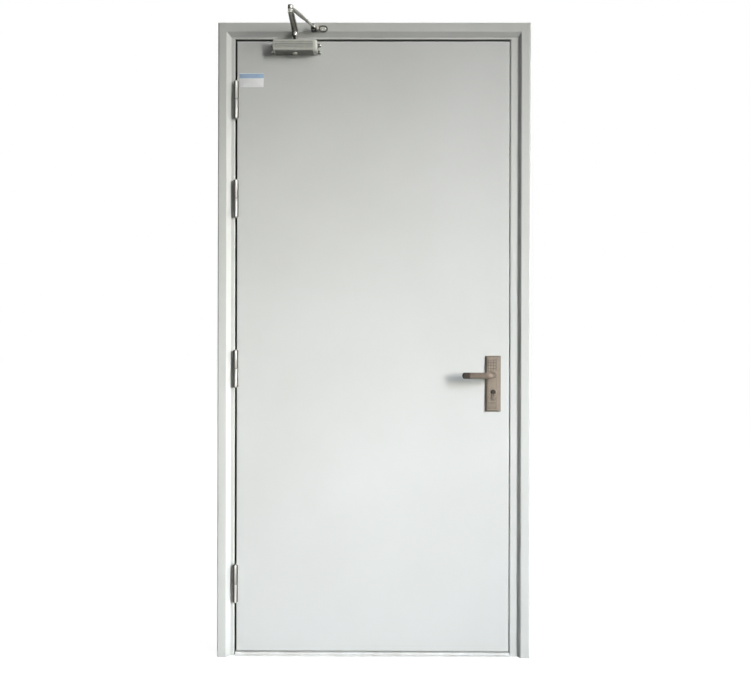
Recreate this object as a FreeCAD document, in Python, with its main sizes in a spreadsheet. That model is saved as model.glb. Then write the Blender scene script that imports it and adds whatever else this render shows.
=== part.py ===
import FreeCAD, Part

import math
import os
import re

import Sketcher

# Steel utility door: a leaf of folded sheet hung on four lift-off hinges in a mitred pressed-steel frame,
# with a lever lock set on both faces and an overhead closer whose two arms reach to a shoe on the head.
# Millimetres. +X to the lock side, +Y into the wall, +Z up, origin under the middle of the threshold.

DOC = FreeCAD.newDocument("steel_utility_door")
SHEET = DOC.addObject("Spreadsheet::Sheet", "Sizes")

SIZES = {
    # Frame: one pressed profile, with a wider land on the lock side
    "frame_width": 1040,
    "frame_height": 2110,
    "frame_depth": 110,
    "frame_sheet": 1.5,
    "face_flat": 29,
    "face_slope": 14,
    "face_step": 12,
    "land_hinge": 15.5,
    "land_lock": 23.5,
    "land_head": 12,
    "stop_rise": 16,
    "stop_gap": 8,
    "wall_lip": 12,
    "seal_width": 11,
    "seal_thick": 3,
    "seal_inset": 2.5,
    "anchor_low": 300,
    "anchor_high": 1810,
    "anchor_radius": 6,
    # Threshold: a low step with a thinner nosing in front
    "sill_height": 12,
    "nosing_height": 5,
    "nosing_reach": 6,
    # Leaf
    "leaf_thick": 50,
    "leaf_sheet": 1.2,
    "leaf_gap": 5,
    "leaf_foot": 18,
    "leaf_bevel": 2,
    "channel_sheet": 1.5,
    "channel_depth": 25,
    # Hinges
    "hinge_top": 1854,
    "hinge_upper": 1525,
    "hinge_middle": 959,
    "hinge_bottom": 244,
    "hinge_length": 125,
    "hinge_split": 1,
    "hinge_stand": 9,
    "knuckle_radius": 8,
    "pin_radius": 4,
    "pin_fit": 0.1,
    "pin_length": 50,
    "plate_width": 22,
    "plate_thick": 3,
    "neck_reach": 5,
    # Lock
    "backset": 51.5,
    "lever_height": 941,
    "key_height": 883,
    "lock_plate_width": 52,
    "lock_plate_low": 817,
    "lock_plate_high": 1003,
    "lock_plate_thick": 8,
    "lock_plate_rim": 2.5,
    "lock_plate_steep": 6.5,
    "lock_plate_shallow": 15,
    "neck_radius": 9,
    "neck_fit": 0.1,
    "neck_length": 44,
    "neck_straight": 14,
    "bend_reach": 29,
    "grip_length": 108,
    "grip_height": 20,
    "grip_thick": 15,
    "grip_bevel": 4,
    "spindle_side": 8,
    "spindle_room": 7,
    "skin_hole": 12,
    "barrel_radius": 8.5,
    "barrel_room": 0.3,
    "barrel_stand": 3,
    "barrel_tail": 24,
    "barrel_tail_width": 10,
    "case_depth": 85,
    "case_thick": 18,
    "case_low": 805,
    "case_high": 1000,
    "faceplate_width": 24,
    "faceplate_thick": 3,
    "faceplate_low": 785,
    "faceplate_high": 1020,
    "bolt_thick": 13,
    "latch_low": 948,
    "latch_high": 978,
    "deadbolt_low": 868,
    "deadbolt_high": 906,
    "strike_margin": 5,
    # Closer
    "closer_left": -333,
    "closer_right": -188,
    "closer_low": 2004.5,
    "closer_high": 2043,
    "closer_deep": 45,
    "closer_chamfer": 6,
    "left_cap": 5,
    "right_cap": 14,
    "lug_reach": 10,
    "lug_thick": 7,
    "lug_height": 34,
    "ear_gap": 12,
    "boss_radius": 8,
    "boss_drop": 6,
    "spindle_radius": 7,
    "spindle_depth": 20,
    "spindle_x": -262,
    "spindle_y": -68,
    "elbow_x": -257,
    "elbow_y": -239,
    "shoe_x": -201,
    "shoe_y": -80,
    "arm_low": 2072,
    "arm_thick": 7,
    "arm_wide_end": 10.5,
    "arm_narrow_end": 9,
    "elbow_pin_radius": 6,
    "elbow_pin_rise": 1.5,
    "elbow_gap": 0.5,
    "eye_height": 11,
    "elbow_eye_radius": 9,
    "forearm_radius": 5.2,
    "forearm_sleeve": 122,
    "rod_radius": 4,
    "shoe_eye_radius": 8,
    "shoe_pin_radius": 4,
    "shoe_gap": 1.5,
    "shoe_lug_thick": 5,
    "shoe_plate_left": -209,
    "shoe_plate_right": -155,
    "shoe_plate_high": 2097,
    "shoe_plate_thick": 4,
}

for row, (alias, value) in enumerate(SIZES.items(), start=1):
    SHEET.set(f"A{row}", alias)
    SHEET.set(f"B{row}", str(value))
    SHEET.setAlias(f"B{row}", alias)
DOC.recompute()

NODES = []


# Expressions and building blocks

def bound(text):
    """Point every size that a formula names at its cell."""
    def to_cell(match):
        word = match.group()
        return f"Sizes.{word}" if word in SIZES else word
    return re.sub(r"[a-z_]+", to_cell, text)


def keep(obj, label):
    """Name a finished sub-part and list it for writing."""
    obj.Label = label
    NODES.append(obj)
    return obj


def block(name, x, y, z):
    """A box between two formulas along each axis."""
    box = DOC.addObject("Part::Box", name)
    for axis, side, (low, high) in zip("xyz", ("Length", "Width", "Height"), (x, y, z)):
        box.setExpression(f"Placement.Base.{axis}", bound(low))
        box.setExpression(side, bound(f"({high}) - ({low})"))
    return box


def rod(name, axis, first, second, start, end, radius):
    """A round bar along Z at (x, y), or along Y at (x, z), from start to end."""
    bar = DOC.addObject("Part::Cylinder", name)
    bar.setExpression("Radius", bound(radius))
    bar.setExpression("Height", bound(f"({end}) - ({start})"))
    if axis == "y":
        bar.Placement.Rotation = FreeCAD.Rotation(FreeCAD.Vector(1, 0, 0), -90)
    places = {"z": (first, second, start), "y": (first, start, second)}[axis]
    for letter, place in zip("xyz", places):
        bar.setExpression(f"Placement.Base.{letter}", bound(place))
    return bar


def fuse(name, pieces):
    """Join touching solids into one."""
    joined = DOC.addObject("Part::MultiFuse", name)
    joined.Shapes = pieces
    joined.Refine = True
    return joined


def overlap(name, pieces):
    """The solid that several solids share."""
    shared = DOC.addObject("Part::MultiCommon", name)
    shared.Shapes = pieces
    return shared


def cut(name, base, tools):
    """Take tools out of a solid, one after another."""
    for index, tool in enumerate(tools):
        step = DOC.addObject("Part::Cut", f"{name}_{index}")
        step.Base = base
        step.Tool = tool
        base = step
    return base


def outline(body, plane, points, start):
    """A closed sketch on one of the body's planes, each corner held by two formulas."""
    sketch = body.newObject("Sketcher::SketchObject", f"{body.Name}_outline")
    role = f"{plane}_Plane"
    support = [item for item in body.Origin.OriginFeatures if item.Role == role][0]
    sketch.AttachmentSupport = [(support, "")]
    sketch.MapMode = "FlatFace"
    sign = "-1 * " if plane == "XZ" else ""
    sketch.setExpression("AttachmentOffset.Base.z", bound(f"{sign}({start})"))
    count = len(points)
    turns = [2 * math.pi * i / count for i in range(count)]
    spread = [FreeCAD.Vector(1000 * math.cos(turn), 1000 * math.sin(turn), 0) for turn in turns]
    for i in range(count):
        sketch.addGeometry(Part.LineSegment(spread[i], spread[(i + 1) % count]), False)
    for i in range(count):
        sketch.addConstraint(Sketcher.Constraint("Coincident", i, 2, (i + 1) % count, 1))
    for i, (first, second) in enumerate(points):
        for kind, place, formula in (("DistanceX", spread[i].x, first), ("DistanceY", spread[i].y, second)):
            held = sketch.addConstraint(Sketcher.Constraint(kind, -1, 1, i, 1, place))
            sketch.setExpression(f"Constraints[{held}]", bound(formula))
    return sketch


def prism(name, plane, points, start, end):
    """A padded outline: (x, y) corners along Z, (x, z) corners along Y or (y, z) corners along X."""
    body = DOC.addObject("PartDesign::Body", name)
    sketch = outline(body, plane, points, start)
    pad = body.newObject("PartDesign::Pad", f"{name}_pad")
    pad.Profile = sketch
    pad.setExpression("Length", bound(f"({end}) - ({start})"))
    pad.Reversed = plane == "XZ"
    return body


def around(centre, reach):
    """The low and high formulas of a span about a centre."""
    return (f"({centre}) - ({reach})", f"({centre}) + ({reach})")


# Planes and lines that the sub-parts share

FRONT = "(-frame_depth / 2)"
BACK = "(frame_depth / 2)"
LAND = "(-frame_depth / 2 + face_step)"
LEAF_BACK = f"({LAND} + leaf_thick)"
LEAF_MIDDLE = f"({LAND} + leaf_thick / 2)"
STOP_FACE = f"({LEAF_BACK} + stop_gap)"
FACE_HINGE = "(face_flat + face_slope + land_hinge)"
FACE_LOCK = "(face_flat + face_slope + land_lock)"
FACE_HEAD = "(face_flat + face_slope + land_head)"
HINGE_REBATE = f"(-frame_width / 2 + {FACE_HINGE})"
LOCK_REBATE = f"(frame_width / 2 - {FACE_LOCK})"
HEAD_REBATE = f"(frame_height - {FACE_HEAD})"
LEAF_LEFT = f"({HINGE_REBATE} + leaf_gap)"
LEAF_RIGHT = f"({LOCK_REBATE} - leaf_gap)"
LEAF_TOP = f"({HEAD_REBATE} - leaf_gap)"
AXIS_X = f"({HINGE_REBATE} + leaf_gap / 2)"
AXIS_Y = f"({LAND} - hinge_stand)"
LOCK_X = f"({LEAF_RIGHT} - backset)"
BEND = "(frame_sheet * (sqrt(face_slope^2 + face_step^2) - face_slope) / face_step)"
HINGES = ("hinge_top", "hinge_upper", "hinge_middle", "hinge_bottom")


# Frame

def pressed_profile(face):
    """Corners of the frame's sheet as (distance in from the outer edge, depth), outside then inside."""
    slope_end = "(face_flat + face_slope)"
    soffit = f"({face} + stop_rise)"
    outside = [
        ("0", f"{FRONT} + wall_lip"),
        ("0", FRONT),
        ("face_flat", FRONT),
        (slope_end, LAND),
        (face, LAND),
        (face, STOP_FACE),
        (soffit, STOP_FACE),
        (soffit, BACK),
        ("0", BACK),
        ("0", f"{BACK} - wall_lip"),
    ]
    inside = [
        ("frame_sheet", f"{BACK} - wall_lip"),
        ("frame_sheet", f"{BACK} - frame_sheet"),
        (f"{soffit} - frame_sheet", f"{BACK} - frame_sheet"),
        (f"{soffit} - frame_sheet", f"{STOP_FACE} + frame_sheet"),
        (f"{face} - frame_sheet", f"{STOP_FACE} + frame_sheet"),
        (f"{face} - frame_sheet", f"{LAND} + frame_sheet"),
        (f"{slope_end} - {BEND}", f"{LAND} + frame_sheet"),
        (f"face_flat - {BEND}", f"{FRONT} + frame_sheet"),
        ("frame_sheet", f"{FRONT} + frame_sheet"),
        ("frame_sheet", f"{FRONT} + wall_lip"),
    ]
    return outside + inside


def mitre(side, face):
    """The joint line between a jamb and the head, from the outer corner to the stop."""
    places = [
        ("0", "0"),
        ("face_flat + face_slope", "face_flat + face_slope"),
        (face, FACE_HEAD),
        (f"{face} + stop_rise", f"{FACE_HEAD} + stop_rise"),
    ]
    return [(f"{side} * (frame_width / 2 - ({a}))", f"frame_height - ({b})") for a, b in places]


MITRE_ROOM = "10"


def jamb(name, side, face):
    """An upright of the pressed profile, cut to the mitre at its top."""
    corners = [(f"{side} * (frame_width / 2 - ({a}))", b) for a, b in pressed_profile(face)]
    upright = prism(name + "_sheet", "XY", corners, "0", "frame_height")
    line = mitre(side, face)
    end_x, end_z = line[-1]
    inner = f"{end_x} - ({side}) * {MITRE_ROOM}"
    above = line + [
        (inner, end_z),
        (inner, f"frame_height + {MITRE_ROOM}"),
        (line[0][0], f"frame_height + {MITRE_ROOM}"),
    ]
    wedge = prism(name + "_mitre", "XZ", above, f"{FRONT} - {MITRE_ROOM}", f"{BACK} + {MITRE_ROOM}")
    return cut(name + "_mitred", upright, [wedge])


def lip_holes(name, side):
    """Round holes through the stop soffit, where fixings go into the wall."""
    low_x = f"{side} * (frame_width / 2)"
    depth = f"({STOP_FACE} + {BACK}) / 2"
    drills = []
    for number, height in enumerate(("anchor_low", "anchor_high")):
        drill = DOC.addObject("Part::Cylinder", f"{name}_{number}")
        drill.setExpression("Radius", bound("anchor_radius"))
        drill.setExpression("Height", bound("frame_width / 2"))
        turn = 90 if side == "-1" else -90
        drill.Placement.Rotation = FreeCAD.Rotation(FreeCAD.Vector(0, 1, 0), turn)
        drill.setExpression("Placement.Base.x", bound(low_x))
        drill.setExpression("Placement.Base.y", bound(depth))
        drill.setExpression("Placement.Base.z", bound(height))
        drills.append(drill)
    return drills


FRAME_HALF = ("({height}) - hinge_length / 2", "({height}) - hinge_split / 2")
LEAF_HALF = ("({height}) + hinge_split / 2", "({height}) + hinge_length / 2")


def half_span(half, height):
    """The low and high formulas of one half of a hinge."""
    return tuple(formula.format(height=height) for formula in half)


hinge_notches = [
    block(
        f"jamb_notch_{number}",
        (f"{HINGE_REBATE} - plate_thick", HINGE_REBATE),
        (LAND, f"{LAND} + plate_width"),
        half_span(FRAME_HALF, height),
    )
    for number, height in enumerate(HINGES, start=1)
]
hinge_upright = jamb("hinge_jamb_blank", "-1", FACE_HINGE)
keep(cut("hinge_jamb", hinge_upright, hinge_notches + lip_holes("hinge_fixing", "-1")), "hinge_jamb")

STRIKE_Y = around(LEAF_MIDDLE, "faceplate_width / 2")
STRIKE_Z = ("faceplate_low", "faceplate_high")
strike_notch = block("strike_notch", (LOCK_REBATE, f"{LOCK_REBATE} + frame_sheet"), STRIKE_Y, STRIKE_Z)
lock_upright = jamb("lock_jamb_blank", "1", FACE_LOCK)
keep(cut("lock_jamb", lock_upright, [strike_notch] + lip_holes("lock_fixing", "1")), "lock_jamb")


def head_end(name, side, face):
    """The solid below the mitre line that comes off one end of the head."""
    line = mitre(side, face)
    low = f"{line[-1][1]} - {MITRE_ROOM}"
    outer = f"{line[0][0]} + ({side}) * {MITRE_ROOM}"
    below = line + [(line[-1][0], low), (outer, low), (outer, "frame_height")]
    return prism(name, "XZ", below, f"{FRONT} - {MITRE_ROOM}", f"{BACK} + {MITRE_ROOM}")


head_corners = [(b, f"frame_height - ({a})") for a, b in pressed_profile(FACE_HEAD)]
head_blank = prism("frame_head_sheet", "YZ", head_corners, "-frame_width / 2", "frame_width / 2")
head_ends = [head_end("head_hinge_end", "-1", FACE_HINGE), head_end("head_lock_end", "1", FACE_LOCK)]
keep(cut("frame_head", head_blank, head_ends), "frame_head")

NOSING = f"({LAND} - nosing_reach)"
HINGE_SOFFIT = f"({HINGE_REBATE} + stop_rise)"
LOCK_SOFFIT = f"({LOCK_REBATE} - stop_rise)"
HEAD_SOFFIT = f"({HEAD_REBATE} - stop_rise)"
keep(
    fuse(
        "threshold",
        [
            block("sill_nosing", (HINGE_REBATE, LOCK_REBATE), (NOSING, LAND), ("0", "nosing_height")),
            block("sill_tread", (HINGE_REBATE, LOCK_REBATE), (LAND, STOP_FACE), ("0", "sill_height")),
            block("sill_back", (HINGE_SOFFIT, LOCK_SOFFIT), (STOP_FACE, BACK), ("0", "sill_height")),
        ],
    ),
    "threshold",
)

SEAL_Y = (f"{STOP_FACE} - seal_thick", STOP_FACE)
SEAL_Z = ("sill_height", f"{HEAD_REBATE} - stop_rise")
hinge_seal_x = (f"{HINGE_REBATE} + seal_inset", f"{HINGE_REBATE} + seal_inset + seal_width")
lock_seal_x = (f"{LOCK_REBATE} - seal_inset - seal_width", f"{LOCK_REBATE} - seal_inset")
head_seal_z = (f"{HEAD_REBATE} - seal_inset - seal_width", f"{HEAD_REBATE} - seal_inset")
keep(block("hinge_side_seal", hinge_seal_x, SEAL_Y, SEAL_Z), "hinge_side_seal")
keep(block("lock_side_seal", lock_seal_x, SEAL_Y, SEAL_Z), "lock_side_seal")
keep(block("head_seal", (HINGE_SOFFIT, LOCK_SOFFIT), SEAL_Y, head_seal_z), "head_seal")


def bolt_window(name, x, span):
    """A square-cornered opening for a bolt, through a plate on the lock edge."""
    return block(name, x, around(LEAF_MIDDLE, "bolt_thick / 2"), span)


LATCH_Z = ("latch_low", "latch_high")
DEADBOLT_Z = ("deadbolt_low", "deadbolt_high")
strike_x = (LOCK_REBATE, f"{LOCK_REBATE} + frame_sheet")
strike_through = (f"{LOCK_REBATE} - frame_sheet", f"{LOCK_REBATE} + 3 * frame_sheet")
strike_latch_z = ("latch_low - strike_margin", "latch_high + strike_margin")
strike_bolt_z = ("deadbolt_low - strike_margin", "deadbolt_high + strike_margin")
strike_windows = [
    bolt_window("strike_latch_window", strike_through, strike_latch_z),
    bolt_window("strike_bolt_window", strike_through, strike_bolt_z),
]
strike_blank = block("strike_blank", strike_x, STRIKE_Y, STRIKE_Z)
keep(cut("strike_plate", strike_blank, strike_windows), "strike_plate")


# Hinges: the frame half carries the pin, and the leaf half lifts off it

def hinge_half(name, half, height, plate_low_x, plate_high_x):
    """A plate let into an edge, a neck past the corner and a round knuckle about the axis."""
    span = half_span(half, height)
    plate = block(
        f"{name}_plate",
        (plate_low_x, plate_high_x),
        (f"{LAND} - neck_reach", f"{LAND} + plate_width"),
        span,
    )
    knuckle = rod(f"{name}_knuckle", "z", AXIS_X, AXIS_Y, span[0], span[1], "knuckle_radius")
    return plate, knuckle, span


for number, height in enumerate(HINGES, start=1):
    fixed = f"hinge_{number}_frame_half"
    plate_low = f"{HINGE_REBATE} - plate_thick"
    plate, knuckle, span = hinge_half(fixed, FRAME_HALF, height, plate_low, HINGE_REBATE)
    pin = rod(f"{fixed}_pin", "z", AXIS_X, AXIS_Y, span[1], f"{span[1]} + pin_length", "pin_radius")
    keep(fuse(fixed, [plate, knuckle, pin]), fixed)

for number, height in enumerate(HINGES, start=1):
    lifting = f"hinge_{number}_leaf_half"
    plate, knuckle, span = hinge_half(lifting, LEAF_HALF, height, LEAF_LEFT, f"{LEAF_LEFT} + plate_thick")
    bore_end = f"{span[0]} - hinge_split + pin_length + 2 * hinge_split"
    bore = rod(f"{lifting}_bore", "z", AXIS_X, AXIS_Y, span[0], bore_end, "pin_radius + pin_fit")
    keep(cut(lifting, fuse(f"{lifting}_blank", [plate, knuckle]), [bore]), lifting)


# Leaf: two folded skins that meet on the edges, closed by a channel at top and bottom

LEAF_Z = ("leaf_foot", LEAF_TOP)
MIDDLE_RIGHT = f"({LEAF_RIGHT} - leaf_bevel / 2)"
BACK_RIGHT = f"({LEAF_RIGHT} - leaf_bevel)"
front_corners = [
    (LEAF_LEFT, LAND),
    (LEAF_RIGHT, LAND),
    (MIDDLE_RIGHT, LEAF_MIDDLE),
    (f"{MIDDLE_RIGHT} - leaf_sheet", LEAF_MIDDLE),
    (f"{LEAF_RIGHT} - leaf_sheet", f"{LAND} + leaf_sheet"),
    (f"{LEAF_LEFT} + leaf_sheet", f"{LAND} + leaf_sheet"),
    (f"{LEAF_LEFT} + leaf_sheet", LEAF_MIDDLE),
    (LEAF_LEFT, LEAF_MIDDLE),
]
back_corners = [
    (LEAF_LEFT, LEAF_MIDDLE),
    (f"{LEAF_LEFT} + leaf_sheet", LEAF_MIDDLE),
    (f"{LEAF_LEFT} + leaf_sheet", f"{LEAF_BACK} - leaf_sheet"),
    (f"{BACK_RIGHT} - leaf_sheet", f"{LEAF_BACK} - leaf_sheet"),
    (f"{MIDDLE_RIGHT} - leaf_sheet", LEAF_MIDDLE),
    (MIDDLE_RIGHT, LEAF_MIDDLE),
    (BACK_RIGHT, LEAF_BACK),
    (LEAF_LEFT, LEAF_BACK),
]
FACEPLATE_X = (f"{BACK_RIGHT} - faceplate_thick", BACK_RIGHT)
edge_window = block(
    "edge_window",
    (FACEPLATE_X[0], f"{LEAF_RIGHT} + leaf_bevel"),
    STRIKE_Y,
    ("faceplate_low", "faceplate_high"),
)
leaf_notches = [
    block(
        f"leaf_notch_{number}",
        (LEAF_LEFT, f"{LEAF_LEFT} + plate_thick"),
        (LAND, f"{LAND} + plate_width"),
        half_span(LEAF_HALF, height),
    )
    for number, height in enumerate(HINGES, start=1)
]
THROUGH_LEAF = (f"{LAND} - leaf_thick", f"{LEAF_BACK} + leaf_thick")
KEY_TAIL_Z = ("key_height - barrel_tail", "key_height")


def lever_hole(name):
    """A round hole through the skins for the lever's square bar."""
    return rod(name, "y", LOCK_X, "lever_height", *THROUGH_LEAF, "skin_hole")


def key_hole(name, room):
    """The keyhole-shaped hole that a profile cylinder passes through."""
    round_radius = f"barrel_radius + {room}"
    round_part = rod(f"{name}_round", "y", LOCK_X, "key_height", *THROUGH_LEAF, round_radius)
    tail = block(
        f"{name}_tail",
        around(LOCK_X, f"barrel_tail_width / 2 + {room}"),
        THROUGH_LEAF,
        (f"{KEY_TAIL_Z[0]} - {room}", KEY_TAIL_Z[1]),
    )
    return fuse(name, [round_part, tail])


front_blank = prism("leaf_front_sheet", "XY", front_corners, *LEAF_Z)
front_holes = [lever_hole("front_lever_hole"), key_hole("front_key_hole", "barrel_room")]
front_tools = leaf_notches + [edge_window] + front_holes
keep(cut("leaf_front_skin", front_blank, front_tools), "leaf_front_skin")
back_blank = prism("leaf_back_sheet", "XY", back_corners, *LEAF_Z)
back_holes = [lever_hole("back_lever_hole"), key_hole("back_key_hole", "barrel_room")]
back_tools = [edge_window] + back_holes
keep(cut("leaf_back_skin", back_blank, back_tools), "leaf_back_skin")

CHANNEL_X = (f"{LEAF_LEFT} + leaf_sheet", f"{BACK_RIGHT} - leaf_sheet")
CHANNEL_Y = (f"{LAND} + leaf_sheet", f"{LEAF_BACK} - leaf_sheet")
HOLLOW_Y = (f"{CHANNEL_Y[0]} + channel_sheet", f"{CHANNEL_Y[1]} - channel_sheet")
HOLLOW_X = (f"{CHANNEL_X[0]} - channel_sheet", f"{CHANNEL_X[1]} + channel_sheet")


def closing_channel(name, outer_z, hollow_z):
    """A folded channel between the skins, its web flush with the leaf's end."""
    blank = block(f"{name}_blank", CHANNEL_X, CHANNEL_Y, outer_z)
    hollow = block(f"{name}_hollow", HOLLOW_X, HOLLOW_Y, hollow_z)
    return keep(cut(name, blank, [hollow]), name)


closing_channel(
    "leaf_top_channel",
    (f"{LEAF_TOP} - channel_depth", LEAF_TOP),
    (f"{LEAF_TOP} - 2 * channel_depth", f"{LEAF_TOP} - channel_sheet"),
)
closing_channel(
    "leaf_bottom_channel",
    ("leaf_foot", "leaf_foot + channel_depth"),
    ("leaf_foot + channel_sheet", "leaf_foot + 2 * channel_depth"),
)


# Lock: case in the leaf, faceplate and bolts on its edge, a plate and lever on each face

case = block(
    "lock_case_blank",
    (f"{FACEPLATE_X[0]} - case_depth", FACEPLATE_X[0]),
    around(LEAF_MIDDLE, "case_thick / 2"),
    ("case_low", "case_high"),
)
case_lever_hole = rod("case_lever_hole", "y", LOCK_X, "lever_height", *THROUGH_LEAF, "spindle_room")
keep(cut("lock_case", case, [case_lever_hole, key_hole("case_key_hole", "0")]), "lock_case")

faceplate = block("faceplate_blank", FACEPLATE_X, STRIKE_Y, ("faceplate_low", "faceplate_high"))
window_x = (f"{FACEPLATE_X[0]} - faceplate_thick", f"{FACEPLATE_X[1]} + faceplate_thick")
faceplate_windows = [
    bolt_window("latch_window", window_x, LATCH_Z),
    bolt_window("deadbolt_window", window_x, DEADBOLT_Z),
]
keep(cut("lock_faceplate", faceplate, faceplate_windows), "lock_faceplate")
keep(bolt_window("latch_bolt", FACEPLATE_X, LATCH_Z), "latch_bolt")
keep(bolt_window("dead_bolt", FACEPLATE_X, DEADBOLT_Z), "dead_bolt")


PLATE_LEFT = f"({LOCK_X} - lock_plate_width / 2)"
PLATE_RIGHT = f"({LOCK_X} + lock_plate_width / 2)"
FACES = {"front": (LAND, "-1"), "back": (LEAF_BACK, "1")}


def out_from(side, distance):
    """The depth at a distance out from one face of the leaf."""
    face, sign = FACES[side]
    return f"{face} + {sign} * ({distance})"


def lock_plate(side):
    """A plate with a steep bevel away from the lock edge, a wide shallow one beside it and bevelled ends."""
    name = f"{side}_lock_plate"
    foot = out_from(side, "0")
    rim = out_from(side, "lock_plate_rim")
    face = out_from(side, "lock_plate_thick")
    across = [
        (PLATE_LEFT, foot),
        (PLATE_RIGHT, foot),
        (PLATE_RIGHT, rim),
        (f"{PLATE_RIGHT} - lock_plate_shallow", face),
        (f"{PLATE_LEFT} + lock_plate_steep", face),
        (PLATE_LEFT, rim),
    ]
    end_bevel = "(lock_plate_thick - lock_plate_rim)"
    upright = [
        (foot, "lock_plate_low"),
        (foot, "lock_plate_high"),
        (rim, "lock_plate_high"),
        (face, f"lock_plate_high - {end_bevel}"),
        (face, f"lock_plate_low + {end_bevel}"),
        (rim, "lock_plate_low"),
    ]
    wide = prism(f"{name}_across", "XY", across, "lock_plate_low", "lock_plate_high")
    tall = prism(f"{name}_upright", "YZ", upright, PLATE_LEFT, PLATE_RIGHT)
    neck_radius = "neck_radius + neck_fit"
    neck_hole = rod(f"{name}_neck_hole", "y", LOCK_X, "lever_height", *THROUGH_LEAF, neck_radius)
    holes = [neck_hole, key_hole(f"{name}_key_hole", "barrel_room")]
    return keep(cut(name, overlap(f"{name}_blank", [wide, tall]), holes), name)


for side in FACES:
    lock_plate(side)

BARREL_Y = (f"{LAND} - lock_plate_thick - barrel_stand", f"{LEAF_BACK} + lock_plate_thick + barrel_stand")
barrel = rod("barrel_round", "y", LOCK_X, "key_height", *BARREL_Y, "barrel_radius")
barrel_tail = block("barrel_tail_solid", around(LOCK_X, "barrel_tail_width / 2"), BARREL_Y, KEY_TAIL_Z)
keep(fuse("key_cylinder", [barrel, barrel_tail]), "key_cylinder")

NECK_INSIDE = "0.5"


def lever(side):
    """A round neck out of the lock plate that bends over into a bevelled grip towards the hinges."""
    name = f"{side}_lever"
    root = out_from(side, NECK_INSIDE)
    joint = out_from(side, "lock_plate_thick + neck_straight")
    low, high = (joint, root) if side == "front" else (root, joint)
    neck = rod(f"{name}_neck", "y", LOCK_X, "lever_height", low, high, "neck_radius")
    outer = "lock_plate_thick + neck_length + grip_thick / 2"
    inner = "lock_plate_thick + neck_length - grip_thick / 2"
    plan = [
        ("neck_radius", "lock_plate_thick + neck_straight / 2"),
        ("neck_radius", "lock_plate_thick + neck_straight + bend_reach / 4"),
        ("neck_radius - bend_reach / 5", f"{outer} - bend_reach / 2"),
        ("neck_radius - bend_reach / 2", f"{outer} - bend_reach / 6"),
        ("neck_radius - bend_reach", outer),
        ("-grip_length", outer),
        ("-grip_length", inner),
        ("-bend_reach", inner),
        ("-bend_reach * 2 / 3", f"{inner} - bend_reach / 8"),
        ("-bend_reach / 2", f"{inner} - bend_reach / 4"),
        ("-neck_radius", "lock_plate_thick + neck_straight"),
        ("-neck_radius", "lock_plate_thick + neck_straight / 2"),
    ]
    corners = [(f"{LOCK_X} + ({across})", out_from(side, out)) for across, out in plan]
    bent = prism(f"{name}_bent", "XY", corners, *around("lever_height", "grip_height / 2"))
    DOC.recompute()
    levels = (SHEET.lever_height - SHEET.grip_height / 2, SHEET.lever_height + SHEET.grip_height / 2)
    grip = DOC.addObject("Part::Chamfer", f"{name}_grip")
    grip.Base = bent
    grip.Edges = [
        (index, SHEET.grip_bevel, SHEET.grip_bevel)
        for index, edge in enumerate(bent.Shape.Edges, start=1)
        if any(all(abs(corner.Z - level) < 0.01 for corner in edge.Vertexes) for level in levels)
    ]
    return keep(fuse(name, [neck, grip]), name)


for side in FACES:
    lever(side)
keep(
    block(
        "lever_spindle",
        around(LOCK_X, "spindle_side / 2"),
        (out_from("front", NECK_INSIDE), out_from("back", NECK_INSIDE)),
        around("lever_height", "spindle_side / 2"),
    ),
    "lever_spindle",
)


# Closer: body, caps and lugs on the leaf, arms above its top edge and a shoe on the head

CLOSER_FRONT = f"({LAND} - closer_deep)"
body_corners = [
    (LAND, "closer_low"),
    (LAND, "closer_high"),
    (f"{CLOSER_FRONT} + closer_chamfer", "closer_high"),
    (CLOSER_FRONT, "closer_high - closer_chamfer"),
    (CLOSER_FRONT, "closer_low + closer_chamfer"),
    (f"{CLOSER_FRONT} + closer_chamfer", "closer_low"),
]
CAP_LEFT = ("closer_left", "closer_left + left_cap")
CAP_RIGHT = ("closer_right - right_cap", "closer_right")
casting = prism("closer_casting", "YZ", body_corners, CAP_LEFT[1], CAP_RIGHT[0])
LUG_Z = around("(closer_low + closer_high) / 2", "lug_height / 2")
LUG_Y = (f"{LAND} - lug_thick", LAND)
lugs = block("closer_lugs", ("closer_left - lug_reach", "closer_right + lug_reach"), LUG_Y, LUG_Z)
EAR_GAP_Z = around("(closer_low + closer_high) / 2", "ear_gap / 2")
ear_gaps = [
    block("left_ear_gap", ("closer_left - lug_reach", "closer_left"), LUG_Y, EAR_GAP_Z),
    block("right_ear_gap", ("closer_right", "closer_right + lug_reach"), LUG_Y, EAR_GAP_Z),
]
SPINDLE_AT = ("spindle_x", "spindle_y")
boss_span = around("closer_low", "boss_drop")
boss = rod("closer_boss", "z", *SPINDLE_AT, *boss_span, "boss_radius")
hole_span = around("closer_high", "spindle_depth")
spindle_hole = rod("closer_spindle_hole", "z", *SPINDLE_AT, *hole_span, "spindle_radius + pin_fit")
closer_blank = fuse("closer_body_blank", [casting, lugs, boss])
keep(cut("closer_body", closer_blank, ear_gaps + [spindle_hole]), "closer_body")

cap_corners = [corner if corner[0] != LAND else (LUG_Y[0], corner[1]) for corner in body_corners]
keep(prism("closer_left_cap", "YZ", cap_corners, *CAP_LEFT), "closer_left_cap")
keep(prism("closer_right_cap", "YZ", cap_corners, *CAP_RIGHT), "closer_right_cap")

spindle_span = ("closer_high - spindle_depth", "arm_low")
keep(rod("closer_spindle", "z", *SPINDLE_AT, *spindle_span, "spindle_radius"), "closer_spindle")


def pivot(name):
    """The plan position of one of the closer's pivots."""
    return FreeCAD.Vector(SHEET.get(f"{name}_x"), SHEET.get(f"{name}_y"), 0)


def reach(start, end):
    """Length between two pivots, and the placement that turns +X from one to the other."""
    step = pivot(end) - pivot(start)
    turn = FreeCAD.Rotation(FreeCAD.Vector(1, 0, 0), step)
    return step.Length, FreeCAD.Placement(pivot(start), turn)


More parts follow.
